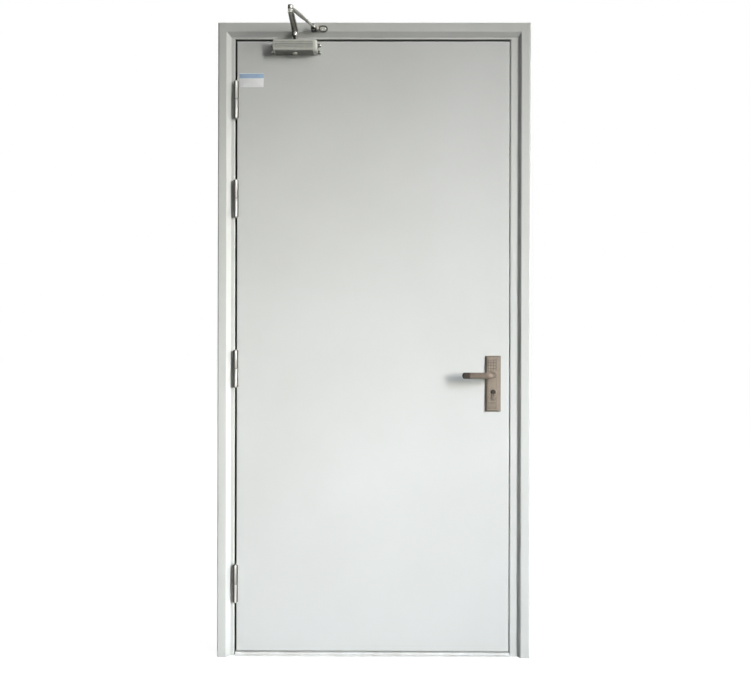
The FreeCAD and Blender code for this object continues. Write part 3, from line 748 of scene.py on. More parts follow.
@dataclass
class PressedFrame:
    """Two jambs and a head of one pressed sheet profile, mitred at the top corners."""

    width: float = 1040
    height: float = 2110
    depth: float = 110
    sheet: float = 1.5
    step: float = 12
    hinge_fold: Fold = Fold(29, 14, 56, 74.5, 0.8)
    lock_fold: Fold = Fold(31.5, 8, 66.5, 82.5, 0, 0)
    head_fold: Fold = Fold(31, 16, 53, 71)
    stop_face: float = 15
    lip: float = 12
    bend: float = 3.0
    edge_bend: float = 7.0
    rebate_bend: float = 4.0
    seam: float = 0.6
    # Width of the painted shade along the outer edge.
    shaded_edge_width: float = 5.2
    cap_radius: float = 9
    cap_y: float = 35
    cap_heights: tuple[float, float] = (300, 1810)

    def profile(self, fold: Fold) -> Array:
        """The sheet's section as (distance in from the outer edge, depth), outside then inside.

        Args:
            fold: The member's bends.

        Returns:
            A ring whose first half is the outside and whose second half is the inside, reversed.
        """
        front, back = -self.depth / 2, self.depth / 2
        land = front + self.step
        _, flat, slope_end, face, soffit = fold.bends()
        thin = self.sheet
        tilt = thin * (np.hypot(fold.slope, self.step) - fold.slope) / self.step
        outside = [
            (0, front + self.lip), (0, front), (flat, front), (slope_end, land), (face, land),
            (face, self.stop_face), (soffit, self.stop_face), (soffit, back), (0, back), (0, back - self.lip),
        ]
        inside = [
            (thin, back - self.lip), (thin, back - thin), (soffit - thin, back - thin),
            (soffit - thin, self.stop_face + thin), (face - thin, self.stop_face + thin),
            (face - thin, land + thin), (slope_end - tilt, land + thin), (flat - tilt, front + thin),
            (thin, front + thin), (thin, front + self.lip),
        ]
        bend = self.bend
        outer = [0.2, self.edge_bend, bend, bend, self.rebate_bend, bend, bend, bend, bend, 0.2]
        inner = [max(radius - thin, 0.2) for radius in reversed(outer)]
        return rounded(outside + inside, outer + inner)

    def painted_shade(self, ring: Array, fold: Fold, rise: Array) -> Array:
        """Painted shade on the sheet: dark in the rebate behind the leaf, where the gap lies in shade, and
        along the outer edge where the fold asks for it, darker towards the top.

        Args:
            ring: The profile.
            fold: The member's bends.
            rise: Share of the height at each ring.

        Returns:
            Darkening as (ring, place in the ring).
        """
        across, depth = ring.T
        behind = smoothstep((depth + self.depth / 2 - self.step - 0.4 * self.rebate_bend) / 2)
        # Painted shade in the rebate, so the gap beside the leaf reads dark.
        rebate = fold.rebate_shade * behind * (across > fold.face - 0.1) * (depth < self.stop_face + 0.1)
        # Painted shade along the outer edge, on the side turned from the lamps.
        edge = fold.edge_shade * smoothstep((self.shaded_edge_width - across) / 2) * (depth < 0)
        return np.clip(rebate + rise[:, None] * edge, 0, 1)

    def member(self, ring: Array, low: Array, high: Array, run: int) -> Array:
        """Carries the profile straight from one cut line to the other, drawn in a little at both cuts.

        Args:
            ring: The profile.
            low: Where each of its points starts along the run.
            high: Where each of its points ends.
            run: The axis of the run, 0 for X and 2 for Z.

        Returns:
            Rings as (ring, place, across and depth and run).
        """
        pairs = ring[::-1]
        drawn = ring + 0.25 * (pairs - ring)
        ends = (low, low + self.seam, low + 2 * self.seam, high - 2 * self.seam, high - self.seam, high)
        sections = (drawn, ring, ring, ring, ring, drawn)
        rings = [np.column_stack([section, along]) for section, along in zip(sections, ends)]
        order = {2: (0, 1, 2), 0: (2, 1, 0)}[run]
        return np.stack(rings)[..., order]

    def jamb(self, side: int, fold: Fold) -> Surface:
        """One upright, from the floor to the mitre, whose cut runs straight from bend to bend.

        Args:
            side: -1 for the hinge side, 1 for the lock side.
            fold: Its bends.

        Returns:
            The upright.
        """
        ring = self.profile(fold)
        top = self.height - np.interp(ring[:, 0], fold.bends(), self.head_fold.bends())
        rings = self.member(ring, np.zeros(len(ring)), top, 2)
        rings[..., 0] = side * (self.width / 2 - rings[..., 0])
        return loft(rings, Ends.STRIP, self.painted_shade(ring, fold, np.array([0, 0, 0, 1, 1, 1])))

    def head(self) -> Surface:
        """The head, between the two mitres."""
        fold = self.head_fold
        ring = self.profile(fold)
        left = -self.width / 2 + np.interp(ring[:, 0], fold.bends(), self.hinge_fold.bends())
        right = self.width / 2 - np.interp(ring[:, 0], fold.bends(), self.lock_fold.bends())
        rings = self.member(ring, left, right, 0)
        rings[..., 2] = self.height - rings[..., 2]
        return loft(rings, Ends.STRIP, self.painted_shade(ring, fold, np.ones(6)))

    def caps(self) -> Surface:
        """Low domed covers over the fixing holes in the stop."""
        soffits = {1: -self.width / 2 + self.hinge_fold.soffit, -1: self.width / 2 - self.lock_fold.soffit}
        dome = [(self.cap_radius, -0.8), (self.cap_radius, 0.3), (8, 1.1), (5, 1.7), (1, 2.0)]
        places = [(side, x, z) for side, x in soffits.items() for z in self.cap_heights]
        return join([lathe(dome, (x, self.cap_y, z), (side, 0, 0)) for side, x, z in places])

    def build(self) -> None:
        """Shows the frame."""
        uprights = (("hinge_jamb", -1, self.hinge_fold), ("lock_jamb", 1, self.lock_fold))
        for node, side, fold in uprights:
            show(f"{node}_sheet", self.jamb(side, fold), FRAME_PAINT, "frame", [node])
        show("frame_head_sheet", self.head(), FRAME_PAINT, "frame", ["frame_head"])
        show("fixing_caps", self.caps(), FRAME_PAINT, "frame")


@dataclass
class Threshold:
    """A low step with a thinner nosing, and grooves along its tread."""

    left: float = -461.5
    right: float = 453.5
    front: float = -49
    rise_at: float = -43
    stop_face: float = 15
    back: float = 55
    notch: float = 16
    nosing: float = 5
    height: float = 12
    ease: float = 1.4
    grooves: tuple[float, ...] = (-30, -22, -14, -6, 2)
    groove_depth: float = 0.7

    def build(self) -> None:
        """Carries the step's section along X; the part behind the stops is shorter at both ends."""
        edge = rounded(
            [
                (self.front, 0), (self.front, self.nosing), (self.rise_at, self.nosing),
                (self.rise_at, self.height), (self.back, self.height), (self.back, 0),
            ],
            self.ease,
        )
        front_edge = edge[8:32]
        back_edge = edge[32:40]
        tread = np.linspace(front_edge[-1, 0] + 0.5, self.stop_face - 0.01, 110)
        dips = ridges(tread, self.grooves, 0.9)
        top = np.vstack(
            [
                front_edge,
                np.column_stack([tread, self.height - self.groove_depth * dips]),
                [(self.stop_face + 0.01, self.height)],
                back_edge,
            ]
        )
        ring = np.vstack([top, np.column_stack([top[::-1, 0], np.zeros(len(top))])])
        short = np.where(ring[:, 0] > self.stop_face, self.notch, 0)
        stations = [np.column_stack([self.left + short, ring]), np.column_stack([self.right - short, ring])]
        step = loft(np.stack(stations), Ends.STRIP)
        show("threshold_step", step, SILL_PAINT, "frame", ["threshold"])


@dataclass
class Seals:
    """Bulb strips pressed into the stop."""

    width: float = 11
    thick: float = 3

    def section(self) -> Array:
        """The strip's section as (across, out): a thin foot with a round bulb along its middle."""
        corners = [
            (0, 0), (self.width, 0), (self.width, 0.8), (8.6, 1.1), (7.8, 2.6), (6.2, self.thick),
            (4.8, self.thick), (3.2, 2.6), (2.4, 1.1), (0, 0.8),
        ]
        return rounded(corners, 0.6, 4)

    def build(self) -> None:
        """Carries the section up both sides and across the head, at the solids' own places."""
        ring = self.section()
        for node in ("hinge_side_seal", "lock_side_seal", "head_seal"):
            low, high = (np.array(corner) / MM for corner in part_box(node))
            run, across = (0, 2) if node == "head_seal" else (2, 0)
            flat = np.column_stack([high[1] - ring[:, 1], low[across] + ring[:, 0]])
            section = flat if run == 0 else flat[:, ::-1]
            rings = [np.insert(section, run, at, axis=1) for at in (low[run], high[run])]
            show(f"{node}_bulb", loft(np.stack(rings)), SEAL_RUBBER, "frame", [node])


@dataclass
class Hinges:
    """Four lift-off hinges: a pin on the frame half and a bored knuckle on the leaf half."""

    heights: tuple[float, ...] = (1854, 1525, 959, 244)
    half_length: float = 62.5
    split: float = 0.5
    axis_x: float = -459
    axis_y: float = -52
    knuckle: float = 8
    pin: float = 4
    pin_end: float = 49.5
    plate_proud: float = 0.25
    plate_thick: float = 2
    plate_front: float = -48.5
    plate_back: float = -21
    rebate_x: float = -463.3
    leaf_x: float = -457.6
    # Place and width of the painted highlight strip on the knuckles, and the painted shade about their split.
    highlight_x: float = -457.6
    highlight_width: float = 3.2
    split_shade: float = 1.6
    screw_radius: float = 3.4

    def plate(self, low_x: float, high_x: float, low_z: float, high_z: float) -> Surface:
        """A let-in plate with rounded corners on its inner edge."""
        ring = rounded_box((self.plate_front, low_z), (self.plate_back, high_z), [0.5, 5, 5, 0.5])
        return placed(slab(ring, low_x, high_x, 0.25), (0, 0, 0), Facing.LOCK_SIDE)

    def shaded_with_highlight(self, knuckle: Surface, height: float) -> Surface:
        """A knuckle in painted shade, left bright only in a bell about one upright strip as a painted
        highlight, and darker about its split as painted shade.
        """
        x, _, z = knuckle.points.T
        # Painted shade everywhere but the painted highlight strip, and painted shade about the split.
        knuckle_shade = 1 - ridge(x - self.highlight_x, self.highlight_width)
        return replace(knuckle, patina_and_shade=np.maximum(knuckle_shade, ridge(z - height, self.split_shade)))

    def screw_row(self, x: float, middle: float, facing: Facing) -> Surface:
        """Three countersunk screws down a plate."""
        steps = ((-20, 0), (0, 5), (20, 0))
        places = [(x, self.plate_back - 8 - shift, middle + step) for step, shift in steps]
        return screws(places, self.screw_radius, facing)

    def build(self) -> None:
        """Turns the knuckles about the pin's axis and lets the plates into jamb and leaf."""
        k, length = self.knuckle, self.half_length
        frame_screws, leaf_screws = [], []
        for number, height in enumerate(self.heights, start=1):
            low, high = height - length, height + length
            fixed = [
                (3.0, low), (5.6, low + 0.3), (7.1, low + 1.2), (7.8, low + 2.6), (k, low + 4.2),
                (k, height - 1.4), (7.6, height - self.split), (5.2, height - self.split),
                (5.2, height + 0.3), (self.pin, height + 0.3), (self.pin, height + self.pin_end - 1),
                (self.pin - 1, height + self.pin_end),
            ]
            bore = self.pin + 0.1
            lifting = [
                (bore - 1, height + self.pin_end + 1.5), (bore, height + self.pin_end + 1),
                (bore, height + self.split), (7.6, height + self.split), (k, height + 1.4), (k, high - 4.2),
                (7.8, high - 2.6), (7.1, high - 1.2), (5.6, high - 0.3), (3.0, high),
            ]
            axis = (self.axis_x, self.axis_y, 0)
            frame_face = self.rebate_x + self.plate_proud
            leaf_face = self.leaf_x - self.plate_proud
            frame_plate = self.plate(self.rebate_x - self.plate_thick, frame_face, low, height - self.split)
            leaf_plate = self.plate(leaf_face, self.leaf_x + self.plate_thick, height + self.split, high)
            frame_half = join([self.shaded_with_highlight(lathe(fixed, axis), height), frame_plate])
            leaf_half = join([self.shaded_with_highlight(lathe(lifting, axis), height), leaf_plate])
            node = f"hinge_{number}"
            show(f"{node}_pin_half", frame_half, HINGE_STEEL, "frame", [f"{node}_frame_half"])
            show(f"{node}_bored_half", leaf_half, HINGE_STEEL, "leaf", [f"{node}_leaf_half"])
            frame_screws.append(self.screw_row(frame_face, (low + height) / 2, Facing.LOCK_SIDE))
            leaf_screws.append(self.screw_row(leaf_face, (high + height) / 2, Facing.HINGE_SIDE))
        show("hinge_screws_on_jamb", join(frame_screws), BRIGHT_STEEL, "frame")
        show("hinge_screws_on_leaf", join(leaf_screws), BRIGHT_STEEL, "leaf")


@dataclass
class Leaf:
    """Two folded skins that meet on the edges, with a window in the lock edge."""

    left: float = -457.6
    right: float = 450.8
    front: float = -43
    middle: float = -18
    back: float = 7
    low: float = 18
    high: float = 2050
    sheet: float = 1.2
    bend: float = 2.4
    lock_bend: float = 2.8
    bevel: float = 2
    window_front: float = -30
    window_back: float = -6
    window_low: float = 785
    window_high: float = 1020
    label_x: tuple[float, float] = (-450, -369.5)
    label_z: tuple[float, float] = (1897.5, 1944)
    label_thick: float = 0.35

    def edge_x(self, y: float) -> float:
        """The bevelled lock edge's place at a depth."""
        return self.right - self.bevel * (y - self.front) / (self.back - self.front)

    def ring(self, face: float, inward: int, window: float, end: float) -> Array:
        """A folded skin's section, with its fold on the lock edge ending at a depth.

        Args:
            face: Depth of the skin's flat face.
            inward: 1 where the fold runs to +Y, -1 where it runs to -Y.
            window: Depth of the window's side.
            end: Depth at which the fold ends.

        Returns:
            A ring, outside then inside reversed.
        """
        thin = self.sheet
        inner_face = face + inward * thin
        outside = [
            (self.left, self.middle), (self.left, face), (self.edge_x(face), face),
            (self.edge_x(window), window), (self.edge_x(self.middle), self.middle),
        ]
        inside = [
            (self.edge_x(self.middle) - thin, self.middle), (self.edge_x(window) - thin, window),
            (self.edge_x(face) - thin, inner_face), (self.left + thin, inner_face),
            (self.left + thin, self.middle),
        ]
        bends = [0, self.bend, self.lock_bend, 0, 0, 0, 0, self.lock_bend - thin, self.bend / 2, 0]
        section = rounded(outside + inside, bends)
        beyond = (section[:, 1] - end) * inward > 0
        on_lock_edge = section[:, 0] > 0
        cut = beyond & on_lock_edge
        outer_cut = cut & (np.arange(len(section)) < len(section) // 2)
        section[cut, 1] = end
        section[cut, 0] = self.edge_x(end) - thin
        section[outer_cut, 0] = self.edge_x(end)
        return section

    def skin(self, face: float, inward: int, window: float) -> Surface:
        """Carries the section up the leaf, with the fold cut back beside the window.

        Args:
            face: Depth of the skin's flat face.
            inward: Direction of its folds.
            window: Depth of the window's side.

        Returns:
            The skin.
        """
        whole = self.ring(face, inward, window, self.middle)
        cut = self.ring(face, inward, window, window)
        stations = [
            (whole, self.low), (whole, self.window_low), (cut, self.window_low), (cut, self.window_high),
            (whole, self.window_high), (whole, self.high),
        ]
        return loft(np.stack([np.insert(ring, 2, z, axis=1) for ring, z in stations]), Ends.STRIP)

    def build(self) -> None:
        """Shows the skins and the blank label."""
        front = self.skin(self.front, 1, self.window_front)
        back = self.skin(self.back, -1, self.window_back)
        show("leaf_front_fold", front, LEAF_PAINT, "leaf", ["leaf_front_skin"])
        show("leaf_back_fold", back, LEAF_PAINT, "leaf", ["leaf_back_skin"])
        ring = rounded_box(*zip(self.label_x, self.label_z), 3)
        film = placed(slab(ring, 0, self.label_thick, 0.15), (0, self.front, 0), Facing.VIEWER)
        show("blank_label", film, LABEL_VINYL, "leaf")


@dataclass
class LockSet:
    """A patterned plate on each face, the key cylinder through them and the metal on the leaf's edge."""

    left: float = 371
    right: float = 423
    low: float = 817
    high: float = 1003
    thick: float = 8
    rim: float = 2.5
    steep: float = 6.5
    shallow: float = 15
    axis_x: float = 397
    lever_z: float = 941
    key_z: float = 883
    collar: float = 13
    pitch: float = 0.75
    front: float = -43
    back: float = 7
    barrel: float = 8.5
    tail_half: float = 5
    tail_low: float = 859
    plug: float = 6.2
    proud: float = 10.6
    chequer_z: tuple[float, float] = (951, 989)
    fan_z: tuple[float, float] = (851, 878)
    fan_apex_z: float = 843
    fan_tilts: tuple[float, ...] = (-0.55, -0.3, -0.1, 0.1, 0.3, 0.55)
    ribs_z: tuple[float, float] = (827, 848)
    pattern_depth: float = 0.75
    pattern_dark: float = 0.55
    face_screws_z: tuple[float, float] = (795, 1010)
    strike_screws_z: tuple[float, float] = (797, 1008)
    edge_screw: float = 3.6
    tarnish: float = 0.92
    edge_screw_y: float = -18
    edge_x: float = 449.2

    def pattern(self, x: Array, z: Array) -> tuple[Array, Array]:
        """Depth of the pressed pattern and how dark it has gone.

        Little pillows stand in a chequer at the top, straight rays fan out below the key, and ribs lie
        across the foot; each is a sum of bells about its lines.

        Args:
            x: Places across the plate.
            z: Places up the plate.

        Returns:
            Depth below the plate's face, and the darkening.
        """
        inner_left = self.left + self.steep + 1.6
        inner_right = self.right - self.shallow - 1.2
        inside = between(x, inner_left, inner_right, 0.6)
        columns = np.linspace(inner_left + 0.8, inner_right - 0.8, 4)
        rows = np.linspace(*self.chequer_z, 5)
        bars = ridges(x, columns, 1.1) + ridges(z, rows, 1.1)
        chequer = np.clip(bars, 0, 1) * between(z, rows[0] - 1, rows[-1] + 1, 1)
        rays = [ridge(x - self.axis_x + 3 - tilt * (z - self.fan_apex_z), 0.9) for tilt in self.fan_tilts]
        fan = sum(rays) * between(z, *self.fan_z, 3)
        low, high = self.ribs_z
        ribs = ridges(z, np.linspace(low, high, 6), 0.9) * between(z, low - 2, high + 2, 1)
        border = ridges(x, (inner_left, inner_right), 0.7) * between(z, self.low + 8, self.high - 8, 1)
        lines = np.clip(np.clip(chequer + fan + ribs, 0, 1) * inside + border, 0, 1)
        return self.pattern_depth * lines, self.pattern_dark * lines

    def plate(self) -> Surface:
        """The plate's front as a height over its grid.

        Height is the lower of two trapezoids, across with a steep and a shallow bevel and upwards with
        short ones, less the pattern, plus a round collar about the lever.

        Returns:
            The plate as (right, up, out).
        """
        x = np.linspace(self.left, self.right, int((self.right - self.left) / self.pitch) + 1)
        z = np.linspace(self.low, self.high, int((self.high - self.low) / self.pitch) + 1)
        grid_x, grid_z = np.meshgrid(x, z, indexing="ij")
        levels = (self.rim, self.thick, self.thick, self.rim)
        bends = (self.left, self.left + self.steep, self.right - self.shallow, self.right)
        across = np.interp(grid_x, bends, levels)
        bevel = self.thick - self.rim
        upward = np.interp(grid_z, (self.low, self.low + bevel, self.high - bevel, self.high), levels)
        depth, dark = self.pattern(grid_x, grid_z)
        from_axis = np.hypot(grid_x - self.axis_x, grid_z - self.lever_z)
        clear = smoothstep((from_axis - self.collar) / 2)
        boss = 0.9 * smoothstep((self.collar - from_axis) / 1.5)
        from_key = np.hypot(grid_x - self.axis_x, grid_z - self.key_z)
        clear = clear * smoothstep((from_key - self.barrel - 2) / 1.5)
        height = np.minimum(across, upward) - depth * clear + boss
        # Painted shade on the bevels: the steep side and the ends as if turned from the lamps, and the
        # shallow side darkened to tone down its highlight.
        steep_bevel_shade = smoothstep((self.left + self.steep - 0.4 - grid_x) / 1.2) * 0.3
        foot_bevel_shade = smoothstep((self.low + bevel - 0.6 - grid_z) / 1.2)
        top_bevel_shade = smoothstep((grid_z - self.high + bevel - 0.6) / 1.2)
        shallow_bevel_shade = smoothstep((grid_x - self.right + self.shallow - 0.4) / 1.2) * 0.38
        edges = np.maximum(np.maximum(steep_bevel_shade, shallow_bevel_shade), 0.4 * (foot_bevel_shade + top_bevel_shade))
        dark = np.maximum(dark * clear, edges)
        return relief(x, z, height, dark, 2.5)

    def cylinder(self) -> Surface:
        """The profile cylinder: a keyhole outline in polar form, extruded through both plates.

        Its radius at an angle is the barrel's, or the distance to the tail's side or foot where the
        angle points down into the tail.

        Returns:
            The cylinder.
        """
        angle = np.linspace(0, FULL_TURN, 96, endpoint=False)
        down = np.maximum(-np.sin(angle), 1e-6)
        aside = np.maximum(abs(np.cos(angle)), 1e-6)
        tail = np.minimum(self.tail_half / aside, (self.key_z - self.tail_low) / down)
        radius = np.where(np.sin(angle) < 0, np.maximum(tail * (down > 0.5), self.barrel), self.barrel)
        outline = np.column_stack([self.axis_x + radius * np.cos(angle), self.key_z + radius * np.sin(angle)])
        through = slab(outline, -self.back - self.proud, -self.front + self.proud, 0.6)
        solid = placed(through, (0, 0, 0), Facing.VIEWER)
        return replace(solid, patina_and_shade=self.tarnish * smoothstep((solid.points[:, 2] - self.key_z + 9) / 5))

    def key_plug(self) -> Surface:
        """The round plug on a polar grid, with the keyway sunk where |right| is small and painted dark inside
        as shade.
        """
        share = np.concatenate([[1, 1], np.linspace(0.97, 0.03, 16)])[:, None]
        angle = np.linspace(0, FULL_TURN, 48, endpoint=False)[None, :]
        right = share * self.plug * np.cos(angle)
        up = share * self.plug * np.sin(angle)
        way = smoothstep((1.5 - abs(right)) / 0.5) * smoothstep((4.6 - abs(up)) / 0.5)
        out = 0.45 - 0.15 * share**4 - 2.0 * way
        out[0] = -0.4
        # The keyway's darkness is painted shade; the rest of the plug carries the tarnish.
        return loft(np.stack([right, up, out], axis=2), Ends.FAN, np.maximum(way, self.tarnish))

    def on_edge(self, node: str, face_x: float, corner: float) -> Surface:
        """A solid's outline on the leaf's edge, with rounded corners, carried out to the edge that is seen.

        Args:
            node: The solid.
            face_x: Where its face stands.
            corner: The radius of its corners.

        Returns:
            The piece.
        """
        low, high = np.array(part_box(node)) / MM + np.array([[0, 0.3, 0.3], [0, -0.3, -0.3]])
        ring = rounded_box(low[1:], high[1:], corner)
        return placed(slab(ring, low[0], face_x, 0.4), (0, 0, 0), Facing.LOCK_SIDE)

    def build(self, nodes: dict[str, bpy.types.Object]) -> None:
        """Shows the lock set.

        Args:
            nodes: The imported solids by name.
        """
        plate = self.plate()
        front = placed(plate, (0, self.front, 0), Facing.VIEWER)
        turned = replace(plate, points=plate.points * (-1, 1, 1))
        back = placed(turned, (0, self.back, 0), Facing.WALL)
        show("front_pattern_plate", front, PLATE_METAL, "leaf", ["front_lock_plate"])
        show("back_pattern_plate", back, PLATE_METAL, "leaf", ["back_lock_plate"])
        show("profile_cylinder", self.cylinder(), CYLINDER_METAL, "leaf", ["key_cylinder"])
        plug = self.key_plug()
        ends = [
            placed(plug, (self.axis_x, self.front - self.proud, self.key_z), Facing.VIEWER),
            placed(plug, (self.axis_x, self.back + self.proud, self.key_z), Facing.WALL),
        ]
        show("key_plugs", join(ends), CYLINDER_METAL, "leaf")
        face = self.on_edge("lock_faceplate", self.edge_x, 3)
        show("let_in_faceplate", face, EDGE_STEEL, "leaf", ["lock_faceplate"])
        for bolt in ("latch_bolt", "dead_bolt"):
            drawn_back = self.on_edge(bolt, self.edge_x + 0.6, 1)
            show(f"drawn_back_{bolt}", drawn_back, BRIGHT_STEEL, "leaf", [bolt])
        dress(nodes, ["lock_case", "strike_plate"], EDGE_STEEL)
        dress(nodes, ["lever_spindle"], BRIGHT_STEEL)
        strike_x = np.array(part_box("strike_plate")[0])[0] / MM
        places = [(self.edge_x, self.edge_screw_y, z) for z in self.face_screws_z]
        heads = screws(places, self.edge_screw, Facing.LOCK_SIDE)
        show("faceplate_screws", heads, BRIGHT_STEEL, "leaf")
        places = [(strike_x, self.edge_screw_y, z) for z in self.strike_screws_z]
        heads = screws(places, self.edge_screw, Facing.HINGE_SIDE)
        show("strike_screws", heads, BRIGHT_STEEL, "frame")


@dataclass
class Levers:
    """Two bent levers on one square bar, boxy along the grip and fluted at the tip."""

    axis_x: float = 397
    axis_z: float = 941
    root_y: float = -43.5
    line_y: float = -95
    bend: float = 26
    tip_x: float = 289
    neck: float = 9
    half_height: float = 10
    half_thick: float = 7.5
    flutes: int = 9
    flute_from: float = 318
    mirror_y: float = -36
    grub_y: float = -61

    def path(self) -> Array:
        """The middle line in plan: out of the plate, round a quarter turn, straight along the grip."""
        out_y = np.linspace(self.root_y, self.line_y + self.bend, 14)
        out = np.column_stack([np.full(14, self.axis_x), out_y])
        angle = np.linspace(0, np.pi / 2, 22)[1:]
        centre = np.array([self.axis_x - self.bend, self.line_y + self.bend])
        turn = centre + self.bend * np.column_stack([np.cos(angle), -np.sin(angle)])
        fine = np.linspace(325, self.tip_x + 0.05, 44)
        grip_x = np.concatenate([np.linspace(centre[0], 326, 24)[1:], fine])
        grip = np.column_stack([grip_x, np.full(len(grip_x), self.line_y)])
        return np.vstack([out, turn, grip])

    def lever(self) -> Surface:
        """Carries a superellipse along the middle line.

        The point at angle a is radius (|cos a|^n + |sin a|^n)^(-1/n) on half-sizes that pass from the round
        neck to the boxy grip; the tip closes along a quarter ellipse and carries flutes of cos(flutes a).

        Returns:
            The front lever.
        """
        line = self.path()
        step = np.gradient(line, axis=0)
        tangent = step / np.linalg.norm(step, axis=1, keepdims=True)
        normal = np.column_stack([-tangent[:, 1], tangent[:, 0]])
        run = np.concatenate([[0], np.cumsum(np.linalg.norm(np.diff(line, axis=0), axis=1))])
        share = run / run[-1]
        grip = smoothstep((share - 0.18) / 0.28)[:, None]
        thick = self.neck + (self.half_thick - self.neck) * grip
        height = self.neck + (self.half_height - self.neck) * grip
        power = 2 + 1.6 * grip
        left_to_tip = np.clip((line[:, 0] - self.tip_x) / 7, 0, 1)[:, None]
        close = np.where(share[:, None] > 0.5, np.sqrt(np.maximum(1 - (1 - left_to_tip) ** 2, 1e-4)), 1)
        angle = np.linspace(0, FULL_TURN, 72, endpoint=False)[None, :]
        ellipse = (abs(np.cos(angle)) ** power + abs(np.sin(angle)) ** power) ** (-1 / power)
        fluted = smoothstep((self.flute_from - line[:, :1]) / 8) * (share[:, None] > 0.5)
        valley = 0.5 - 0.5 * np.cos(self.flutes * 2 * angle)
        groove_height = height * ellipse * np.sin(angle)
        front_side = smoothstep(-np.cos(angle) * 3)
        groove = ridge(groove_height - 3.2, 0.9) * grip * (1 - fluted) * front_side
        across = thick * ellipse * np.cos(angle) * close * (1 - 0.09 * fluted * valley) + 0.5 * groove
        upward = height * ellipse * np.sin(angle) * close * (1 - 0.07 * fluted * valley)
        flat = line[:, None, :] + across[..., None] * -normal[:, None, :]
        rings = np.concatenate([flat, self.axis_z + upward[..., None]], axis=2)
        # Painted shade: the fluted tip is darkened as the side turned from the lamps, most in the valleys,
        # and the grip's groove as a recess.
        dark = np.clip(fluted * (0.7 + 0.3 * valley) + 0.45 * groove, 0, 1)
        return loft(rings, Ends.FAN, np.broadcast_to(dark, rings.shape[:2]))

    def build(self) -> None:
        """Shows both levers; the back one is the front one turned over the leaf's middle plane."""
        front = self.lever()
        back = replace(front, points=front.points * (1, -1, 1) + (0, self.mirror_y, 0))
        show("front_bent_lever", front, LEVER_METAL, "levers", ["front_lever"])
        show("back_bent_lever", back, LEVER_METAL, "levers", ["back_lever"])
        pin = [(2.2, -1.5), (2.2, 0.1), (1.6, 0.5), (0.7, 0.6)]
        out = self.neck - 0.2
        grub = [
            lathe(pin, (self.axis_x + 0.6 * out, y, self.axis_z - 0.8 * out), (0.6, 0, -0.8), 20)
            for y in (self.grub_y, self.mirror_y - self.grub_y)
        ]
        show("lever_grub_screws", join(grub), BRIGHT_STEEL, "levers")


